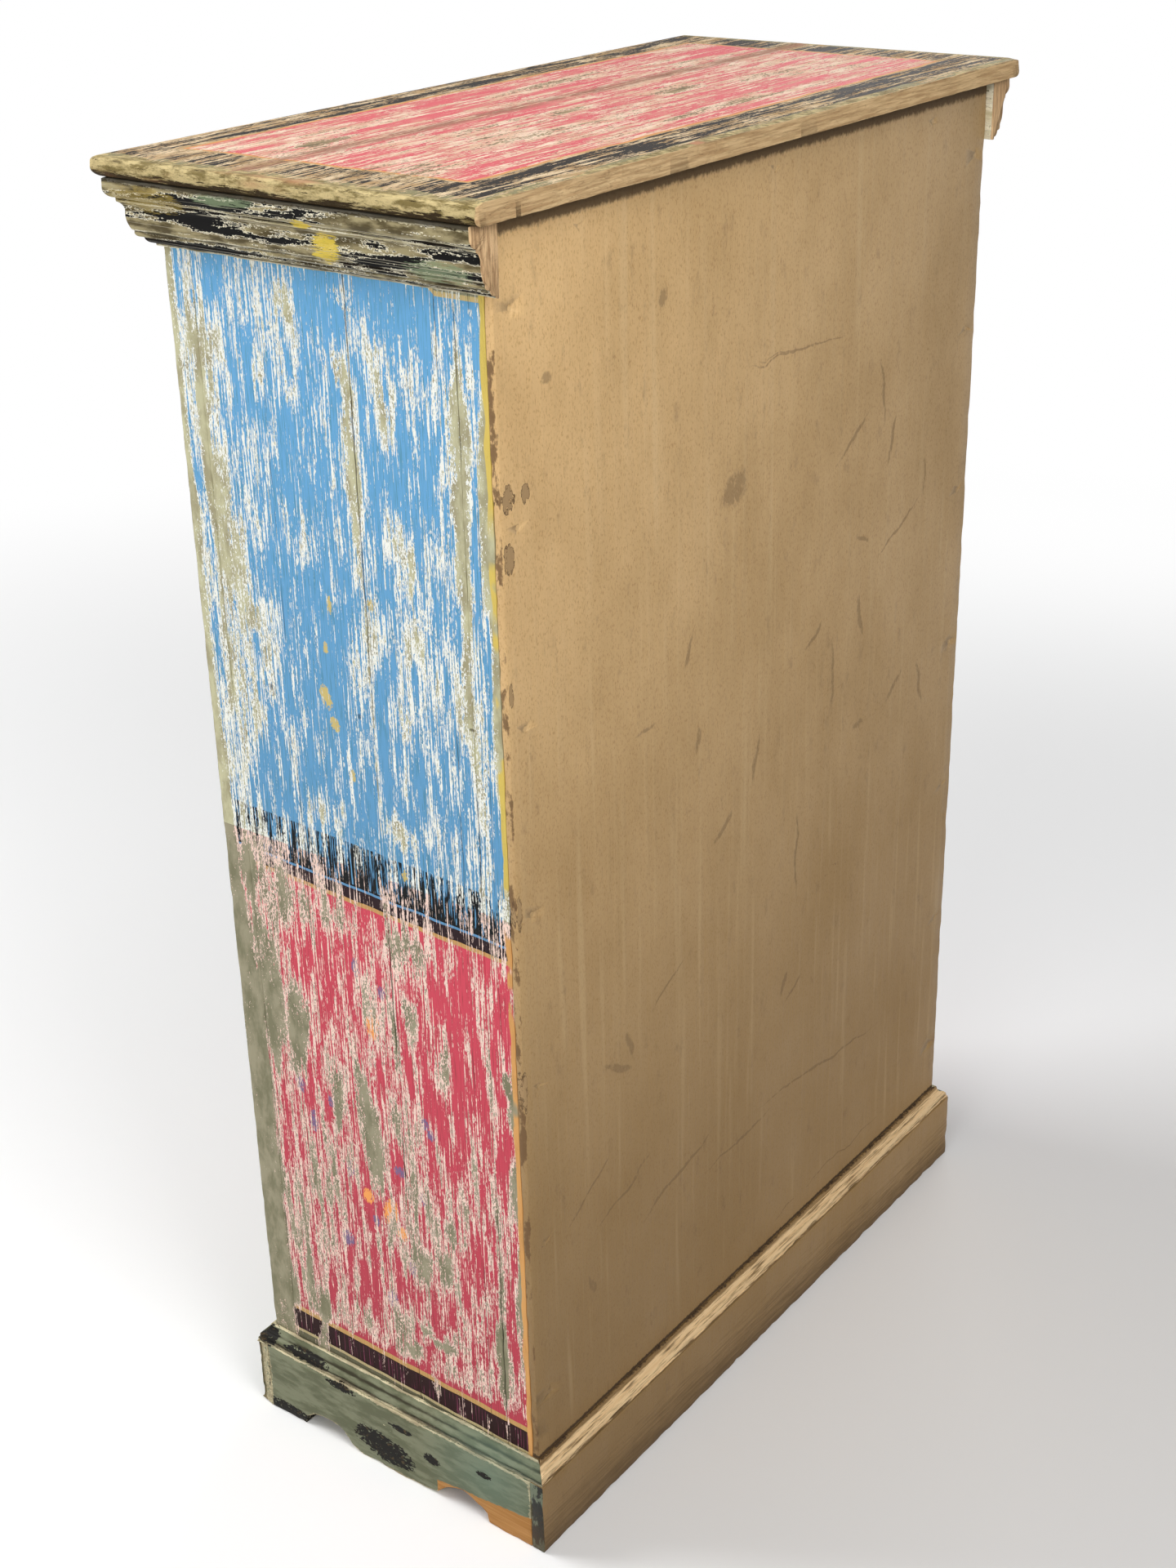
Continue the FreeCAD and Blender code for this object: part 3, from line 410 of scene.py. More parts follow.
def paintedSides():
    # softwood boards brushed in blue and red over a chalky undercoat and older green, rubbed back along
    # the grain: crisp upright streaks, speckled bald patches, matt with a slight step at each coat
    material, place = startMaterial("distressed_painted_side_boards")
    x, y, z = (addNode("SeparateXYZ", [place], k) for k in range(3))
    drift, cluster, wobble, ragged, grainy, mottle, fine = rubbedNoises(place, 2, sides["noises"], 0.0025)
    lowRed = addNode("Math.LESS_THAN", [z, sides["redBelow"]])
    front = addNode("Math.LESS_THAN", [y, sides["frontSeam"]])
    worn = summed(sides["wear"], (drift, 0.5), (cluster, 1.3))
    for direction, start, end, more in sides["wearAlong"]:
        value = y if direction == "y" else z
        worn = summed(worn, (addNode("MapRange.SMOOTHSTEP", [value, start, end, 0, more]), 1))
    torn = addNode("MapRange", [grainy, 0.36, 0.64, 0.4, 1.2])
    scraped = addNode("Math.MULTIPLY", [torn, wearOnPoints(place, "scraped")])
    combed = addNode("MapRange", [grainNoise(place, 2, 70, 1.3, 2, 0.5, 13), 0.6, 0.7, 0, 0.3])
    worn = summed(worn, (scraped, 1), (wearOnPoints(place, "arris"), 0.2), (front, -0.24), (combed, 1))
    dabs = []
    for hexColour, marks in sides["dabs"].items():
        dab = addNode("MapRange", [tornSpots(place, 0, marks, grainy), 0.34, 0.4, 0, 0.85])
        worn = summed(worn, (dab, -0.05))
        dabs.append((hexColour, dab))

    khaki, green = (blended(*sides[key], mottle) for key in ("oldKhaki", "oldGreen"))
    oldColour = addNode("Mix.RGBA", [greatest(lowRed, front), khaki, green])
    coat = (oldColour, 0.62, addNode("Math.MULTIPLY", [fine, 0.25]))

    cream = addNode("Mix.RGBA", [addNode("Math.SUBTRACT", [lowRed, front]), *sides["undercoat"]])
    # the undercoat goes where the grainy wear is deep, but always leaves a thin rim round the old paint
    deeper = addNode("MapRange.SMOOTHSTEP", [z, 0.7, 0.3, 0, 0.1])
    deeper = summed(worn, (deeper, 1), (grainy, 2))
    rim = summed(worn, (ragged, 2.2))
    deeper = addNode("Math.MINIMUM", [deeper, addNode("Math.ADD", [rim, -0.05])])
    coat = layCoat(coat, cream, 0.75, 0.35, addNode("MapRange", [deeper, 1.66, 1.7, 1, 0]))

    # the bands, from the foot to the cornice, over the field
    slope = summed(z, (y, sides["slope"]))
    height = summed(slope, (wobble, 0.4))
    waist = colourBands(height, sides["waistBand"])
    # the black of the waist band is brushed thinly over the blue, most thinly along its upper edge
    strokes = grainNoise(place, 2, 34, 2, 3, 0.6, 17)
    strokes = summed(strokes, (addNode("MapRange", [slope, 0.672, 0.72, -0.06, 0.06]), 1))
    strokes = addNode("MapRange", [strokes, 0.53, 0.56])
    strokes = addNode("Math.MULTIPLY", [strokes, addNode("Math.GREATER_THAN", [slope, 0.672])])
    waist = addNode("Mix.RGBA", [strokes, waist, "#6DACDB"])
    head = summed(z, (addNode("MapRange", [y, 0.12, 0.13, -0.008, 0]), 1))
    foot = colourBands(height, sides["footBand"])
    purple = addNode("MapRange", [combed, 0.02, 0.1, 0, 0.8])
    purple = addNode("Math.MULTIPLY", [band(height, 0.109, 0.13, 0.002), purple])
    foot = addNode("Mix.RGBA", [purple, foot, "#B0527A"])
    colour = addNode("Mix.RGBA", [addNode("Math.LESS_THAN", [z, 0.4]), waist, foot])
    head = colourBands(head, sides["headBand"])
    colour = addNode("Mix.RGBA", [addNode("Math.GREATER_THAN", [z, 1.2]), colour, head])
    colour = blended(colour, sides["shade"], fine, 0.48, 0.72, "MULTIPLY")
    # painted shade in part: the top coat darkens from the cornice down to the foot
    fadeAndShade = addNode("MapRange", [z, 0, 1.2, *sides["fadeAndShade"]])
    colour = addNode("VectorMath.SCALE", {0: colour, "Scale": fadeAndShade})
    for hexColour, left in dabs:
        colour = addNode("Mix.RGBA", [left, colour, hexColour])
    colour = addNode("Mix.RGBA", [front, colour, blended(*doors["frame"], mottle)])
    coat = layCoat(coat, colour, 0.5, 0.4, paintLeft(worn, ragged, 2.2, 0.5, 0.03))

    # the upright line along the rear edge, then cracks, knots and the browned edge
    rear = sides["rearLine"]
    lineColour = addNode("Mix.RGBA", [lowRed, rear["yellow"], rear["orange"]])
    line = band(summed(y, (wobble, 1)), rear["low"], rear["high"], 0.0006)
    broken = addNode("MapRange.SMOOTHSTEP", [grainNoise(place, 2, 90, 60, 3, 0.6, 4), 0.62, 0.56])
    line = addNode("Math.MULTIPLY", [line, greatest(broken, addNode("MapRange", [z, 1.03, 1.06]))])
    kept = paintLeft(wearOnPoints(place, "scraped"), grainy, 0.9, 1.2)
    coat = layCoat(coat, lineColour, 0.5, 0.3, addNode("Math.MULTIPLY", [line, kept]))

    across = summed(y, (wobble, 0.5))
    crack = greatest(*[addNode("Math.COMPARE", [across, at * mm, half * mm]) for at, half in sides["cracks"]])
    opened = addNode("MapRange.SMOOTHSTEP", [grainNoise(place, 2, 150, 12, 2, 0.6, 11), 0.5, 0.6])
    knot = addNode("MapRange.SMOOTHSTEP", [spotMask(place, 0, sides["knots"]), 0.1, 0.6])
    dark = greatest(addNode("Math.MULTIPLY", [crack, opened]), knot)
    coat = layCoat(coat, "#2E2A20", 0.9, -0.9, addNode("Math.MULTIPLY", [dark, 0.65]))

    brown = sides["edgeBrown"]
    atEdge = [summed(y, (mottle, 0.004)), brown["from"], brown["full"]]
    coat = layCoat(coat, brown["colour"], 0.8, 0, addNode("MapRange.SMOOTHSTEP", atEdge))

    painted = greatest(addNode("Math.GREATER_THAN", [apart(x), sides["innerFace"]]), front)
    coat = (addNode("Mix.RGBA", [painted, bareInside(place, 2), coat[0]]), *coat[1:])
    finishMaterial(coat, 0.0006, 0.12)
    return material


topBoards = {
    "field": (-5, -7.5, 365, 147.5),  # centre x, y and half sizes of the painted panel, in mm
    "noises": {
        "drift": (160, 34, 3, 0.55), "cluster": (120, 9), "ragged": ((56, 2.4), (6, 2.2), 0.3),
        "grainy": ((20, 3), (4.2, 2), 0.55), "mottle": (36, 12), "fine": (34, 1.2)},
    # colours by the distance outside the panel's edge
    "bands": (-10, 70, [(-10, "#DC5A62"), (0, "#DE9A58"), (3.5, "#C9AE82"), (5.5, "#1A120A"), (48, "#8E8660")]),
    "oldPaint": ("#A8906C", "#77684D"),
    "undercoat": ("#FBE0C8", "#E6BB9E"), "borderUndercoat": ("#EBD3AF", "#BB9A70"),
    "pinkShade": "#E08E80",
    "nosing": ("#D3BF8B", "#857549"), "nosingBrown": "#3F321F", "backEdge": ("#DDBD8E", "#B6946A"),
    "seam": -46.5, "stain": "#A67863", "wear": -0.44,
    "scrapes": [
        (320, -70, 50, 40, 0.2), (180, -10, 60, 12, 0.2), (345, 70, 40, 30, 0.25), (-60, -110, 90, 9, 0.3),
        (90, 60, 120, 9, 0.22), (-220, 40, 90, 10, 0.25), (-40, 110, 70, 8, 0.35), (285, -75, 26, 9, 0.75),
        (60, 5, 24, 7, 0.7), (-90, 20, 30, 7, 0.7)],
}


def paintedTop():
    # softwood boards brushed pink-red inside a black border, sanded lengthways through to the undercoat
    material, place = startMaterial("distressed_painted_top_boards")
    x, y, z = (addNode("SeparateXYZ", [place], k) for k in range(3))
    drift, cluster, wobble, ragged, grainy, mottle, fine = rubbedNoises(place, 0, topBoards["noises"], 0.003)
    outside = outsideBox(x, y, topBoards["field"], wobble)
    inField = addNode("Math.LESS_THAN", [outside, 0])
    onLine = addNode("Math.COMPARE", [outside, 0.0018, 0.0022])
    worn = summed(topBoards["wear"], (drift, 0.9), (cluster, 0.95), (onLine, -0.2))
    torn = addNode("MapRange", [ragged, 0.36, 0.64, 0.45, 1.35])
    worn = summed(worn, (addNode("Math.MULTIPLY", [torn, wearOnPoints(place, "scraped")]), 1))

    coat = (blended(*topBoards["oldPaint"], mottle), 0.65, addNode("Math.MULTIPLY", [fine, 0.3]))
    borderCream, fieldCream = (blended(*topBoards[key], mottle) for key in ("borderUndercoat", "undercoat"))
    cream = addNode("Mix.RGBA", [inField, borderCream, fieldCream])
    coat = layCoat(coat, cream, 0.75, 0.35, paintLeft(worn, grainy, 2, 0.8))
    colour = colourBands(outside, topBoards["bands"])
    fadeAndShade = addNode("Math.MULTIPLY", [inField, mottle])
    colour = blended(colour, topBoards["pinkShade"], fadeAndShade, 0.45, 0.8)
    coat = layCoat(coat, colour, 0.5, 0.4, paintLeft(worn, ragged, 2.2, 0.5, 0.03))

    nearSeam = apart(summed(y, (wobble, 0.6)), topBoards["seam"] * mm)
    stain = addNode("MapRange.SMOOTHSTEP", [nearSeam, 0.016, 0.003, 0, 0.85])
    stain = addNode("Math.MULTIPLY", [stain, paintLeft(mottle, ragged, 1.2, 0.6, 0.12)])
    coat = layCoat(coat, topBoards["stain"], 0.75, -0.2, stain)

    # the rounded nosing keeps an olive coat, the back edge the tan of the back
    under = addNode("MapRange.SMOOTHSTEP", [z, 1.2975, 1.29, 0, 0.04])
    nose = addNode("MapRange", [summed(outside, (under, 1), (cluster, 0.05), (grainy, 0.02)), 0.0905, 0.0915])
    olive = blended(*topBoards["nosing"], grainNoise(place, 1, 22, 6, 5, 0.7, 2), 0.4, 0.6)
    stained = grainNoise(place, 1, 26, 3, 5, 0.75, 4)
    # the nosing is darker towards its underside
    darkerUnderneath = addNode("MapRange", [z, 1.292, 1.284, -0.04, 0.24])
    olive = blended(olive, topBoards["nosingBrown"], summed(stained, (darkerUnderneath, 1)), 0.55, 0.6)
    olive = blended(olive, "#C08A66", grainNoise(place, 1, 120, 30, 2, 0.5, 12), 0.62, 0.78)
    coat = layCoat(coat, olive, 0.55, 0.2, nose)
    rearEdge = addNode("MapRange", [summed(y, (ragged, 0.0012)), 0.2015, 0.2018])
    tan = blended(*topBoards["backEdge"], grainNoise(place, 0, 50, 3, 4, 0.65, 5))
    toArris = summed(apart(z, 1.2915), (ragged, 0.01))
    tan = blended(tan, "#4F3C26", toArris, 0.0125, 0.016)
    coat = layCoat(coat, tan, 0.6, 0, rearEdge)
    shine = addNode("MapRange", [inField, 0, 1, 0.05, 0.15])
    finishMaterial(coat, 0.0007, shine)
    return material


def runningPaint(name, axis, scheme):
    # old brushed paint on a moulding or a board that runs along one axis: the arrises are rubbed to a pale undercoat,
    # the hollows hold dirt and painted shade, and a darker coat is left in long ragged patches
    material, place = startMaterial(name)
    drift = grainNoise(place, axis, *scheme["patch"], 4, 0.6)
    ragged = raggedNoise(place, axis, (24, 2.4), (3.4, 1.9), 0.45)
    mottle = grainNoise(place, axis, 34, 9, 4, 0.6, 7)
    fine = grainNoise(place, axis, 30, 1.2, 3, 0.6, 2)
    arris, scraped = wearOnPoints(place, "arris"), wearOnPoints(place, "scraped")

    wood = blended(*scheme["wood"], grainNoise(place, axis, 90, 3.4, 4, 0.6, 1))
    coat = (wood, 0.7, addNode("Math.MULTIPLY", [fine, 0.3]))
    bare = summed(-0.05, (mottle, 0.5), (arris, scheme["rubbed"]), (scraped, 1))
    coat = layCoat(coat, blended(*scheme["undercoat"], mottle), 0.72, 0.3, paintLeft(bare, ragged, 0.8, 1.02))
    paint = blended(*scheme["paint"], mottle, 0.38, 0.62)
    coat = layCoat(coat, paint, 0.52, 0.35, paintLeft(bare, ragged, 0.9, 0.62))
    patch = summed(addNode("Math.MULTIPLY", [bare, 0.55]), (drift, 1.9))
    level = scheme["patchLevel"]
    for colour, start in ((scheme["undercoat"][0], level + 0.05), (scheme["patchColour"], level)):
        coat = layCoat(coat, colour, 0.6, 0.2, paintLeft(patch, ragged, 0.9, start))
    coat = layCoat(coat, scheme["dirtAndShade"], 0.9, 0, inHollows(place, mottle))
    return material, place, coat


cornicePaint = {
    "patch": (130, 12), "patchColour": "#060504", "patchLevel": 1.07, "rubbed": 0.72,
    "wood": ("#A9825A", "#7D5D3C"), "undercoat": ("#FAF3DA", "#C8BC94"), "paint": ("#ADA079", "#584D32"),
    "dirtAndShade": "#241C13", "endGrain": 193,
    "tints": [("#8FA07C", 0.6, [(150, 1243, 44, 12), (-60, 1277, 50, 7)]),
              ("#B29A4E", 0.5, [(-150, 1268, 60, 16)]),
              ("#EBCF52", 0.9, [(38, 1249, 22, 17, 12), (20, 1266, 14, 6)])],
}


def paintedCornice(axis):
    # moulded softwood under olive and black paint, sawn bare at its rear ends
    material, place, coat = runningPaint("worn_painted_cornice_" + "xyz"[axis], axis, cornicePaint)
    y, z = (addNode("SeparateXYZ", [place], k) for k in (1, 2))
    brushed = grainNoise(place, axis, 16, 1.5, 4, 0.65, 3)
    for hexColour, strength, marks in cornicePaint["tints"]:
        tint = addNode("MapRange", [tornSpots(place, 0, marks, brushed), 0.28, 0.4, 0, strength])
        coat = layCoat(coat, hexColour, 0.5, 0.2, tint)
    scratch = addNode("MapRange", [grainNoise(place, axis, 420, 1.1, 1, 0.5, 21), 0.66, 0.7, 0, 0.8])
    coat = layCoat(coat, "#C4BCA6", 0.6, -0.2, scratch)
    # a painted shadow along the cornice's top, where the top board sits on it
    shadeUnderTop = addNode("MapRange", [summed(z, (brushed, 0.004)), 1.2805, 1.2825, 0, 0.9])
    coat = layCoat(coat, cornicePaint["dirtAndShade"], 0.85, 0, shadeUnderTop)
    endGrain = addNode("MapRange", [y, (cornicePaint["endGrain"] - 0.4) * mm, cornicePaint["endGrain"] * mm])
    endWood = blended("#E6C294", "#A98560", grainNoise(place, 2, 30, 2.2, 4, 0.65, 6))
    coat = layCoat(coat, endWood, 0.85, 0, endGrain)
    finishMaterial(coat, 0.0006, 0.12)
    return material


plinthPaint = {
    "patch": (60, 30), "patchColour": "#2A2824", "patchLevel": 0.62, "rubbed": 0.7,
    "wood": ("#6E5238", "#3A3026"), "undercoat": ("#D8CDA8", "#A3977A"), "paint": ("#80836A", "#64674F"),
    "dirtAndShade": "#2F2A20", "newWood": ("#BD8C55", "#A87640"),
    # chips by the axis that a board runs along
    "chips": {
        1: [(-4, 26, 52, 22, -8), (-180, 42, 13, 60), (-60, 76, 26, 6), (-140, 6, 40, 12), (60, 44, 14, 8),
            (20, 62, 20, 5), (128, 60, 12, 5), (-110, 88, 40, 6), (-168, 90, 20, 14)],
        0: [(429, 44, 26, 66), (-429, 40, 26, 60), (120, 10, 40, 14), (-210, 14, 30, 12)]},
    "chipColours": ("#1D1B18", "#54452F"),
    "newWoodPlace": (66, 21, 0.12),  # it starts at this y, reaches up to this height there, in mm, and rises by this
    "teal": [(135, 60, 90, 80)],
}


def paintedPlinth(axis):
    # sage paint over black on scalloped boards, chipped at the feet, one foot pieced with new bare wood
    material, place, coat = runningPaint("worn_painted_plinth_" + "xyz"[axis], axis, plinthPaint)
    ragged = raggedNoise(place, axis, (14, 3.4), (4, 2.4), 0.6, 3)
    if axis == 1:
        teal = addNode("Math.MULTIPLY", [spotMask(place, 0, plinthPaint["teal"]), 0.55])
        coat = recoloured(coat, "#6A8474", teal)
    chips = tornSpots(place, 1 - axis, plinthPaint["chips"][axis], ragged)
    stained = grainNoise(place, axis, 9, 6, 4, 0.65, 8)
    chipped = blended(*plinthPaint["chipColours"], stained, 0.56, 0.68)
    coat = layCoat(coat, chipped, 0.6, -0.4, addNode("MapRange.SMOOTHSTEP", [chips, 0.22, 0.26]))
    if axis == 1:
        y, z = (addNode("SeparateXYZ", [place], k) for k in (1, 2))
        start, top, rise = plinthPaint["newWoodPlace"]
        top -= rise * start
        bare = addNode("MapRange", [summed(z, (stained, 0.006), (y, -rise)), (top + 3.5) * mm, (top + 2.7) * mm])
        bare = addNode("Math.MULTIPLY", [bare, addNode("Math.GREATER_THAN", [y, start * mm])])
        newWood = blended(*plinthPaint["newWood"], grainNoise(place, 1, 120, 3, 4, 0.6, 6))
        coat = layCoat(coat, newWood, 0.7, -0.3, bare)
    finishMaterial(coat, 0.0006, 0.12)
    return material


backPaint = {
    # low: the colour of the painted shade towards the foot
    "paint": ("#D6B27E", "#BE9C6B"), "low": "#886A3F", "streak": "#DEC396",
    "edge": "#6B4F33", "innerFace": 0.1785, "boardEnd": 0.4072,  # y and x, in metres
    # brightness in the middle, how much a metre sideways changes it, and that at the foot and at the top: painted
    # light and shade
    "fadeAndShade": (0.94, 1.2, -0.35, 0.7),
    "chips": [(383, 1065, 11, 15), (361, 1064, 7, 11), (384, 1016, 9, 17), (389, 700, 5, 24), (388, 900, 4, 14),
              (390, 520, 4, 30)],
    # faint scuffs and scratches: (x, z, half width, half height, turn)
    "scuffs": [
        (-50, 1088, 100, 1.6, -2), (-30, 1090, 60, 1.2, -5), (300, 360, 46, 2.4, 35), (246, 326, 60, 2.6, 22),
        (152, 294, 84, 2.8, 17), (44, 272, 74, 2.4, 4), (-120, 278, 150, 2.2, -5), (-180, 132, 108, 1.4, 2),
        (-52, 125, 30, 1.4, 8), (-83, 793, 20, 4, 30), (-175, 787, 5, 30, 10), (-176, 869, 16, 3, -20),
        (-252, 684, 24, 5, 40), (-310, 668, 4, 34, 20), (-179, 663, 16, 4), (76, 653, 24, 4, 35),
        (203, 799, 20, 3, 10), (131, 852, 4, 24, -12), (-205, 1010, 3, 40, 15), (-228, 960, 3, 36, -18),
        (60, 985, 26, 20, 10), (-60, 560, 3, 60, 2), (170, 520, 40, 2.4, 30), (-300, 900, 3, 26),
        (250, 470, 26, 5, -30), (232, 486, 5, 22, 20), (120, 760, 5, 16), (-150, 980, 46, 3, 35),
        (-250, 860, 60, 2, 24), (300, 250, 6, 20, 10), (330, 1150, 10, 7), (170, 1180, 7, 12), (20, 700, 4, 30, -8),
        (-120, 740, 4, 46, 3), (-40, 420, 4, 16, -30), (-60, 405, 20, 3, 25)],
}


def paintedBack():
    # a plywood sheet and its plinth brushed in one tan coat: faint upright brush lines, scuffs, browned edges
    material, place = startMaterial("brushed_tan_paint_on_back_sheet")
    x, y, z = (addNode("SeparateXYZ", [place], k) for k in range(3))
    brush = grainNoise(place, 2, 240, 8, 4, 0.6)
    cloud = grainNoise(place, 2, 200, 130, 5, 0.62, 3)
    soiled = grainNoise(place, 2, 30, 14, 5, 0.68, 8)
    drips = grainNoise(place, 2, 420, 15, 2, 0.5, 14)
    specks = grainNoise(place, 2, 7, 4, 3, 0.6, 5)
    ragged = raggedNoise(place, 2, (20, 4), (5, 3), 0.6)
    colour = blended(*backPaint["paint"], cloud, 0.24, 0.76)
    colour = blended(colour, "#E2D9CB", grainNoise(place, 2, 3.4, 1.7, 2, 0.6, 6), 0.5, 0.72, "MULTIPLY")
    # painted shade: the coat darkens from the top down to the foot
    lower = addNode("MapRange.SMOOTHSTEP", [z, 1.15, 0.15, 0, 0.75])
    colour = addNode("Mix.RGBA", [lower, colour, backPaint["low"]])
    light = addNode("MapRange.SMOOTHSTEP", [brush, 0.54, 0.74, 0, 0.16])
    dripped = addNode("MapRange.SMOOTHSTEP", [drips, 0.6, 0.74, 0, 0.2])
    light = addNode("Math.MULTIPLY", [greatest(light, dripped), addNode("MapRange", [z, 0.1, 0.16])])
    colour = addNode("Mix.RGBA", [light, colour, backPaint["streak"]])
    darker = addNode("MapRange.SMOOTHSTEP", [soiled, 0.56, 0.8, 0, 0.38])
    dotted = addNode("MapRange", [summed(specks, (cloud, 0.5)), 0.99, 1.04, 0, 0.7])
    colour = addNode("Mix.RGBA", [greatest(darker, dotted), colour, backPaint["edge"]])
    # painted light and shade: the coat is paler towards one upper corner, deeper towards the other
    middle, sideways, *heights = backPaint["fadeAndShade"]
    paintedLightAndShade = addNode("Math.MULTIPLY", [addNode("MapRange", [z, 0.1, 1.3, *heights]), x])
    colour = addNode("VectorMath.SCALE", {0: colour, "Scale": summed(middle, (paintedLightAndShade, sideways))})
    coat = (colour, addNode("MapRange", [cloud, 0.3, 0.7, 0.42, 0.6]), summed(brush, (soiled, 0.6)))
    # the scuffs are drawn on wandering coordinates, so that none of them is straight
    wander = addNode("TexNoise", {"Vector": place, "Scale": 22, "Detail": 3}, 1)
    wander = addNode("VectorMath.SUBTRACT", [wander, (0.5, 0.5, 0.5)])
    bent = addNode("VectorMath.MULTIPLY_ADD", [wander, (0.024, 0.024, 0.024), place])
    scuff = addNode("MapRange.SMOOTHSTEP", [tornSpots(bent, 1, backPaint["scuffs"], ragged), 0.04, 0.5, 0, 0.5])
    coat = layCoat(coat, "#715A3E", 0.7, -0.3, scuff)
    chip = tornSpots(place, 1, backPaint["chips"], ragged)
    coat = layCoat(coat, "#A98B63", 0.8, -0.6, addNode("MapRange", [chip, 0.28, 0.32]))
    coat = layCoat(coat, "#5E452C", 0.8, 0, addNode("Math.MULTIPLY", [band(chip, 0.24, 0.36, 0.02), 0.75]))
    brown = addNode("MapRange.SMOOTHSTEP", [summed(apart(x), (soiled, 0.012)), 0.3981, 0.3991, 0, 0.85])
    brown = addNode("Math.MULTIPLY", [brown, addNode("Math.GREATER_THAN", [z, 0.1])])
    coat = layCoat(coat, backPaint["edge"], 0.8, 0, brown)
    # the ends of the plinth board keep an older black and green coat
    onEnd = addNode("Math.GREATER_THAN", [apart(x), backPaint["boardEnd"]])
    endColour = blended("#23241F", "#6C7460", soiled, 0.47, 0.53)
    coat = layCoat(coat, endColour, 0.6, 0, onEnd)
    # painted shadow and dirt under the top's overhang, dirt above the moulding, dirt and painted shade in the hollows
    shadeUnderTop = addNode("MapRange.SMOOTHSTEP", [summed(z, (ragged, -0.012)), 1.261, 1.266, 0, 0.85])
    overMoulding = band(summed(z, (ragged, 0.006)), 0.1025, 0.1065, 0.0008)
    dirtAndShade = greatest(shadeUnderTop, overMoulding, addNode("Math.MULTIPLY", [wearOnPoints(place, "crease"), 0.8]))
    coat = layCoat(coat, "#4A3826", 0.85, 0, dirtAndShade)
    # the moulding over the plinth is rubbed pale, partly a painted highlight on its upper half; the foot of the board
    # is darker
    # pale band on the moulding: rubbed paint and painted highlight
    along = grainNoise(place, 0, 40, 2.4, 4, 0.65, 9)
    onMoulding = band(summed(z, (along, 0.008)), 0.0885, 0.0998, 0.0008)
    pale = addNode("Math.MULTIPLY", [addNode("MapRange", [along, 0.33, 0.5, 0, 0.9]), onMoulding])
    coat = layCoat(coat, "#F4D3A2", 0.5, 0, pale)
    # the board is darker towards the floor
    darkerAtFoot = addNode("MapRange", [summed(z, (along, -0.1)), 0, -0.05, 0, 0.7])
    coat = layCoat(coat, "#4F3C27", 0.8, 0, darkerAtFoot)
    inner = addNode("Math.LESS_THAN", [y, backPaint["innerFace"]])
    coat = layCoat(coat, bareInside(place, 2), 0.75, 0, inner)
    finishMaterial(coat, 0.0007, 0.3)
    return material


def paintedDoor(name, part, axis):
    # the doors carry the sides' scheme: sage frames, a blue panel over a red one, both lined in yellow
    material, place = startMaterial(name)
    x, y, z = (addNode("SeparateXYZ", [place], k) for k in range(3))
    drift, cluster, wobble, ragged, grainy, mottle, fine = rubbedNoises(place, axis, sides["noises"], 0.0018)
    kind = "frame" if part == "frame" else "panel"
    worn = summed(doors["wear"][kind], (drift, 0.9), (cluster, 1.3))
    worn = summed(worn, (wearOnPoints(place, "arris"), 0.4))
    coat = (blended(*doors["oldPaint"], mottle), 0.65, addNode("Math.MULTIPLY", [fine, 0.3]))
    coat = layCoat(coat, doors["undercoat"], 0.75, 0.35, paintLeft(worn, grainy, 2, 0.7))
    if kind == "frame":
        waistColour, low, high = doors["waist"]
        waist = band(summed(z, (wobble, 1)), low, high, 0.0004)
        colour = addNode("Mix.RGBA", [waist, blended(*doors["frame"], mottle), waistColour])
    else:
        centre, half = doors[part]
        box = (doors["panelCentre"], centre, doors["panelHalf"], half)
        field, line, slopes = (doors[key][part] for key in ("field", "line", "slopes"))
        bands = [(-45, field), (-38, line), (-33, slopes), (-6, line)]
        colour = colourBands(outsideBox(apart(x), z, box, wobble), (-45, 5, bands))
    colour = blended(colour, sides["shade"], fine, 0.48, 0.72, "MULTIPLY")
    coat = layCoat(coat, colour, 0.5, 0.4, paintLeft(worn, ragged, 2.2, 0.5, 0.03))
    # dirt and painted shade in the hollows
    coat = layCoat(coat, "#2F2A20", 0.9, 0, inHollows(place, mottle))
    behind = addNode("Math.GREATER_THAN", [y, doors["backFace"][kind]])
    coat = recoloured(coat, bareInside(place, axis), behind)
    finishMaterial(coat, 0.0006, 0.12)
    return material


def bareWood(axis):
    # unfinished softwood gone brown with age: soft rings drawn out along the board, darker pores, matt
    material, place = startMaterial("aged_bare_softwood_" + "xyz"[axis])
    rings = grainNoise(place, axis, 260, 9, 3, 0.5)
    fibre = grainNoise(place, axis, 60, 1.6, 4, 0.65, 4)
    cloud = grainNoise(place, axis, 200, 90, 3, 0.5, 8)
    colour = blended("#AC8F69", "#8A6C4B", rings, 0.4, 0.62)
    colour = blended(colour, "#6A5139", fibre, 0.56, 0.8)
    colour = blended(colour, "#9A8B70", cloud, 0.5, 0.9)
    finishMaterial((colour, addNode("MapRange", [fibre, 0.3, 0.7, 0.6, 0.8]), fibre), 0.0004)
    return material


def turnedWood():
    # turned knobs in black paint, worn brown where hands take them
    material, place = startMaterial("worn_black_paint_on_turned_wood")
    ragged = raggedNoise(place, 1, (12, 2.4), (2.6, 1.6), 0.5)
    cloud = grainNoise(place, 1, 16, 12, 3, 0.6, 5)
    wood = blended("#8C6A45", "#65482D", grainNoise(place, 1, 30, 1.6, 4, 0.6, 2))
    coat = layCoat((wood, 0.5, 0), "#25211D", 0.42, 0.4, paintLeft(cloud, ragged, 0.9, 0.55))
    finishMaterial(coat, 0.0003)
    return material


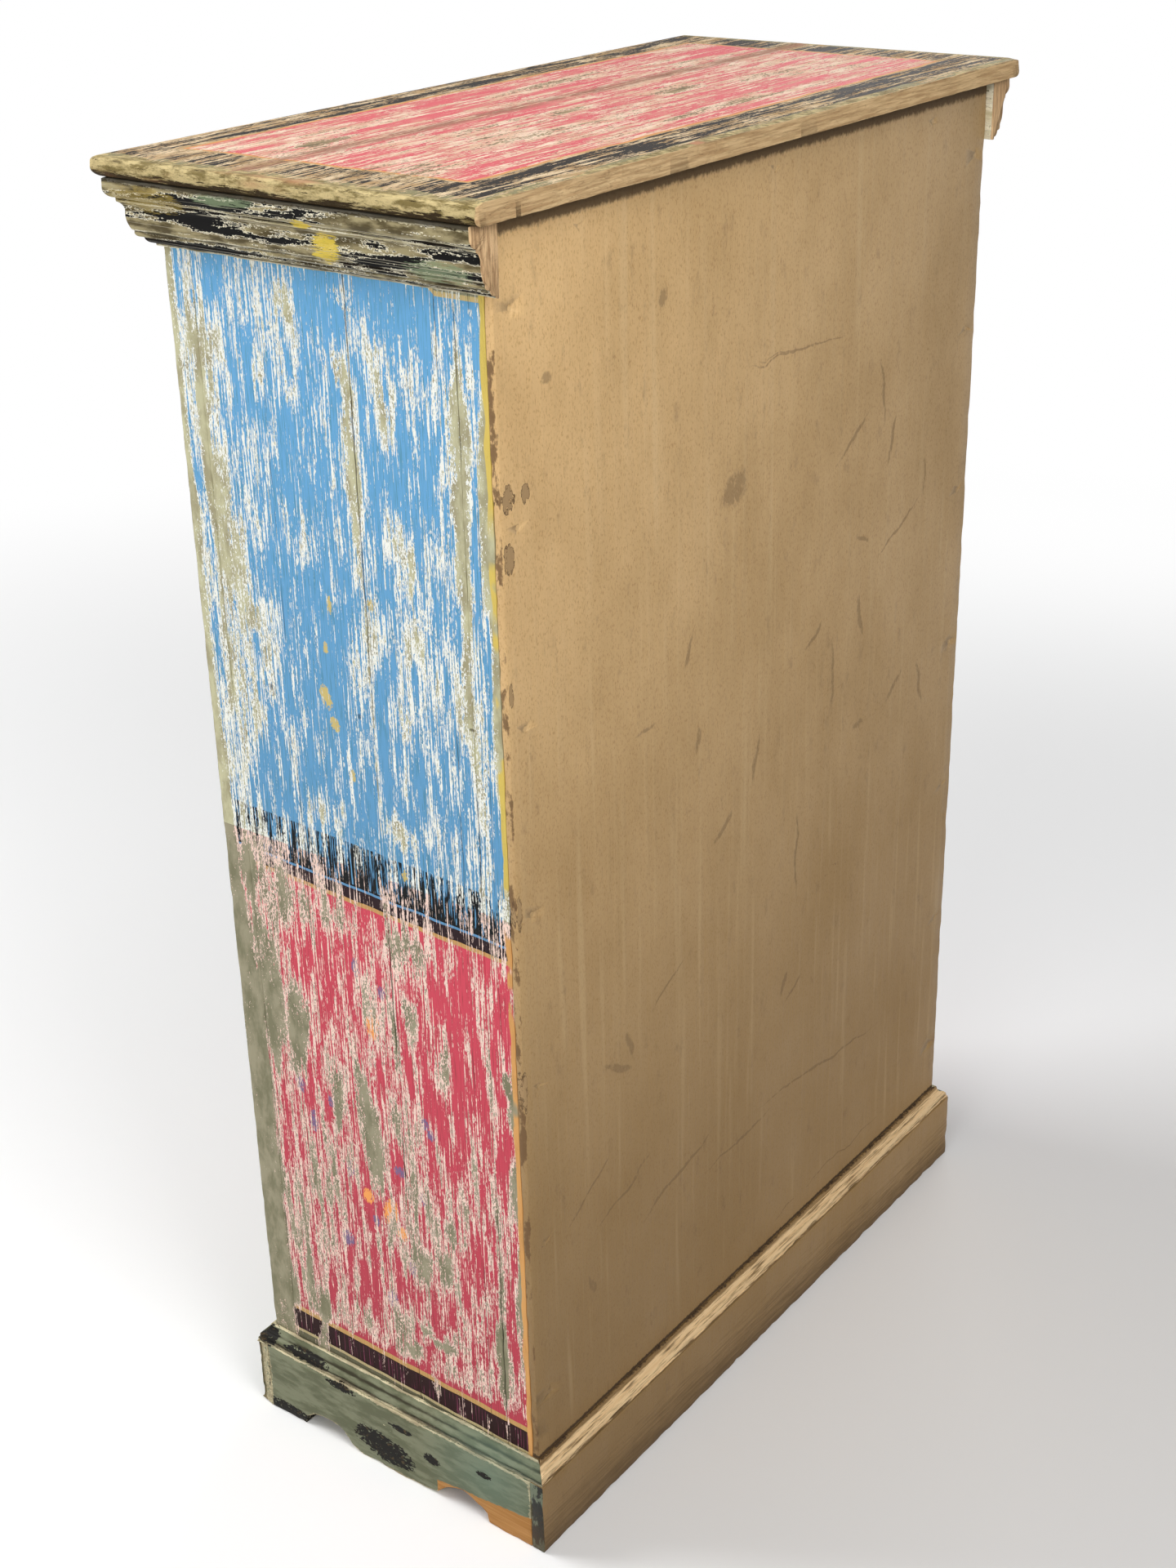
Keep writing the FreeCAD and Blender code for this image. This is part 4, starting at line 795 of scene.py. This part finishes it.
def forgedIron():
    # forged iron, dark with oil and a little rust in the hollows
    material, place = startMaterial("dark_forged_iron")
    hammered = grainNoise(place, 2, 7, 7, 3, 0.5)
    rust = grainNoise(place, 2, 12, 9, 5, 0.65, 4)
    colour = blended("#3B3733", "#2A2725", hammered)
    rusty = addNode("MapRange.SMOOTHSTEP", [rust, 0.55, 0.66])
    colour = addNode("Mix.RGBA", [rusty, colour, "#5B3A26"])
    roughness = addNode("MapRange", [rusty, 0, 1, 0.42, 0.85])
    metal = addNode("MapRange", [rusty, 0, 1, 0.9, 0.1])
    finishMaterial((colour, roughness, hammered), 0.0006, metallic=metal)
    return material


def screwSteel():
    # screws and nails, dull zinc-grey steel, spotted brown
    material, place = startMaterial("dull_spotted_steel")
    spots = grainNoise(place, 2, 2.2, 2.2, 3, 0.6)
    colour = blended("#86827B", "#5E4A38", spots, 0.5, 0.68)
    finishMaterial((colour, addNode("MapRange", [spots, 0.35, 0.7, 0.38, 0.7]), spots), 0.0002, metallic=0.85)
    return material


def sideWear(x, y, z):
    # the sides' bald patches, moved a little on the left side so that the two aren't the same
    left = x < 0
    total = ovals(np.where(left, 0.02 - y, y), np.where(left, z - 0.028, z), sides["scrapes"], 1)
    front = np.clip((np.interp(z, *zip(*sides["frontMargin"])) - y) / 0.004 + 0.5, 0, 1)
    rear = np.clip((y - np.interp(z, *zip(*sides["rearMargin"]))) / 0.005 + 0.5, 0, 1)
    total = np.maximum.reduce([total, front, rear])
    return np.where(y < sides["frontSeam"] - 0.0003, 0.06, total)


def topWear(x, y, z):
    under = np.clip((1.2975 - z) / 0.002, 0, 1) * 0.25
    return np.maximum(ovals(x, y, topBoards["scrapes"], 0), under)


# slot, then the wear of arrises: radius, shortest edge, chip depth, reach of chips and of rubbing, in mm, and
# chips per metre
woodKinds = {
    "side": ("painted_sides", 0.6, 12, 0.7, 3, 4, 60),
    "top": ("painted_top", 0.9, 12, 0.6, 5, 6, 45),
    "cornice": ("painted_cornice", 0.7, 20, 1, 3, 2.6, 50),
    "plinth": ("painted_plinth", 1.2, 3, 1.6, 4, 3, 55),
    "back": ("painted_back", 0.8, 20, 1.2, 4, 4, 50),
    "door": ("painted_doors", 1, 20, 1, 3, 3.5, 60),
    "rail": ("painted_sides", 1, 20, 0.8, 3, 4, 40),
    "plain": ("bare_wood", 1, 20, 0.8, 3, 4, 40),
}
scraping = {"side": sideWear, "top": topWear}
topDents = [((429, 203, 1296), 14, 4), ((429, -203, 1296), 9, 1.5), ((-429, 203, 1296), 12, 3)]
dents = {"top_plank_front": topDents, "top_plank_back": topDents,  # centre, radius and depth, in mm
         "plinth_front": [((408.5, -182.8, z), 14, 5) for z in (8, 22, 36, 50, 64, 78)]}
rails, stiles, panels = ("bottom_rail", "lock_rail", "top_rail"), ("meeting_stile", "hinge_stile"), ("upper", "lower")


def buildWood(kind, material, grid, *nodeNames):
    for nodeName in nodeNames:
        wornPiece(nodeName, kind, material, grid)


side = paintedSides()
for hand in ("right", "left"):
    buildWood("side", side, (0, 5, 8), f"{hand}_side_plank_front", f"{hand}_side_plank_back")
    buildWood("side", side, (10, 5, 8), f"front_post_{hand}", f"rear_post_{hand}")
buildWood("top", paintedTop(), (6, 6, 0), "top_plank_front", "top_plank_back")
print("sides and top painted")
buildWood("cornice", paintedCornice(1), (0, 6, 0), "cornice_right", "cornice_left")
buildWood("cornice", paintedCornice(0), (6, 0, 0), "cornice_front")
plinth = [paintedPlinth(axis) for axis in range(2)]
for hand in ("right", "left"):
    buildWood("plinth", plinth[1], (0, 6, 6), f"plinth_{hand}")
    buildWood("plinth", plinth[1], (0, 6, 0), f"plinth_moulding_{hand}")
buildWood("plinth", plinth[0], (6, 0, 6), "plinth_front")
buildWood("plinth", plinth[0], (6, 0, 0), "plinth_moulding_front")
back = paintedBack()
buildWood("plinth", back, (8, 0, 8), "plinth_back")
buildWood("plinth", back, (8, 0, 0), "plinth_moulding_back")
buildWood("back", back, (20, 0, 10), "back_panel")
print("cornice, plinth and back painted")
railPaint = paintedDoor("distressed_painted_door_rails", "frame", 0)
stilePaint = paintedDoor("distressed_painted_door_stiles", "frame", 2)
panelPaint = {part: paintedDoor(f"distressed_painted_{part}_panels", part, 2) for part in panels}
for hand in ("right", "left"):
    buildWood("door", railPaint, (10, 0, 10), *[f"{hand}_door_{part}" for part in rails])
    buildWood("door", stilePaint, (10, 0, 10), *[f"{hand}_door_{part}" for part in stiles])
    for part in panels:
        buildWood("door", panelPaint[part], (12, 0, 12), f"{hand}_door_{part}_panel")
buildWood("rail", railPaint, (12, 0, 0), "head_rail", "sill_rail")
lengthwise = bareWood(0)
buildWood("plain", lengthwise, (12, 0, 0), "rear_top_rail", "floor_board", "shelf_1", "shelf_2")
buildWood("plain", bareWood(1), (0, 20, 0), "shelf_cleats")
buildWood("plain", lengthwise, (12, 0, 0), "door_stops")
print("doors and inner wood finished")

fittings = {
    turnedWood(): ("turned_wood", "right_door_knob", "left_door_knob", "turn_button"),
    forgedIron(): ("iron_fittings", "post_hinge_leaves", "hinge_pins", "bolt_keepers", "right_door_hinge_leaves",
                   "left_door_hinge_leaves", "bolt_plates", "bolt_upper", "bolt_lower"),
    back: ("painted_back", "back_panel_nails"),
    screwSteel(): ("steel_fixings", "post_hinge_screws", "right_door_screws", "left_door_screws",
                   "turn_button_screw"),
}
for material, (slotName, *nodeNames) in fittings.items():
    for nodeName in nodeNames:
        piece = frame["nodes"][nodeName]
        piece.data.materials.clear()
        piece.data.materials.append(material)
print("fittings finished")

studio = {
    "floor": "#ECEBE9", "seenFloor": 0.93,  # seenFloor: what the camera sees of the floor, 1 is white
    "world": 0.15,
    "lamps": [  # place, aim, size, watts
        ((1.2, -3, 3), (0.1, 0, 0.8), 2, 127), ((3.2, 0.8, 2.2), (0.1, 0, 0.8), 1.6, 34),
        ((1.3, 3, 2.9), (0.1, 0, 0.8), 1.6, 43), ((0.9, 1.6, 3), (0.1, 0, 0.8), 1.6, 20),
        ((-3, -0.8, 1.2), (0, 0, 0.7), 1.6, 20)],
}


def seenDirectly(tree):
    # 1 for the camera and for what it sees in a mirror or through glass
    return greatest(*[addNode("LightPath", [], output, tree=tree) for output in (0, 3, 6)])


def buildStudio():
    bpy.ops.mesh.primitive_plane_add(size=30, location=(0, 0, 0))
    floor = bpy.context.object
    floor.name = "studio_floor"
    material, place = startMaterial("studio_floor")
    seen = seenDirectly(place.id_data)
    bright = studio["seenFloor"]
    colour = addNode("Mix.RGBA", [seen, studio["floor"], (bright, bright, bright, 1)])
    matt = addNode("BsdfDiffuse", {"Color": colour})
    far = addNode("MapRange.SMOOTHSTEP", [addNode("VectorMath.LENGTH", [place], 1), 1.5, 3.2])
    far = addNode("Math.MULTIPLY", [far, seen])
    white = addNode("Emission", {"Color": (1, 1, 1, 1), "Strength": 1}, tree=place.id_data)
    addNode("OutputMaterial", {"Surface": addNode("MixShader", [far, matt, white])})
    floor.data.materials.append(material)
    world = bpy.data.worlds.new("studio")
    bpy.context.scene.world = world
    world.use_nodes = True
    world.node_tree.nodes.clear()
    strength = addNode("MapRange", [seenDirectly(world.node_tree), 0, 1, studio["world"], 1])
    glow = addNode("Background", {"Color": (1, 1, 1, 1), "Strength": strength})
    addNode("OutputWorld", {"Surface": glow})
    for place, aim, size, watts in studio["lamps"]:
        lamp = bpy.data.lights.new("softbox", "AREA")
        lamp.size, lamp.energy = size, watts
        holder = bpy.data.objects.new("softbox", lamp)
        holder.location = place
        holder.visible_camera = False
        holder.rotation_euler = (Vector(aim) - Vector(place)).to_track_quat("-Z", "Y").to_euler()
        bpy.context.scene.collection.objects.link(holder)


camera = {  # solved from the straight edges in the photograph
    "place": (1.65245, 1.2211, 1.60599), "lens": 50.452,
    "right": (-0.5960983, 0.8026234, -0.0215055), "down": (0.359787, 0.2430728, -0.9008157),
    "forward": (-0.7177884, -0.5447121, -0.4336687)}


def buildCamera():
    lens = bpy.data.cameras.new("camera")
    lens.sensor_width, lens.lens, lens.clip_start = 36, camera["lens"], 0.05
    holder = bpy.data.objects.new("camera", lens)
    right, up, back = Vector(camera["right"]), -Vector(camera["down"]), -Vector(camera["forward"])
    turn = Matrix((right, up, back)).transposed().to_4x4()
    holder.matrix_world = Matrix.Translation(camera["place"]) @ turn
    bpy.context.scene.collection.objects.link(holder)
    bpy.context.scene.camera = holder


buildStudio()
buildCamera()
bpy.context.scene.view_settings.view_transform = "Standard"
print("studio and camera set")
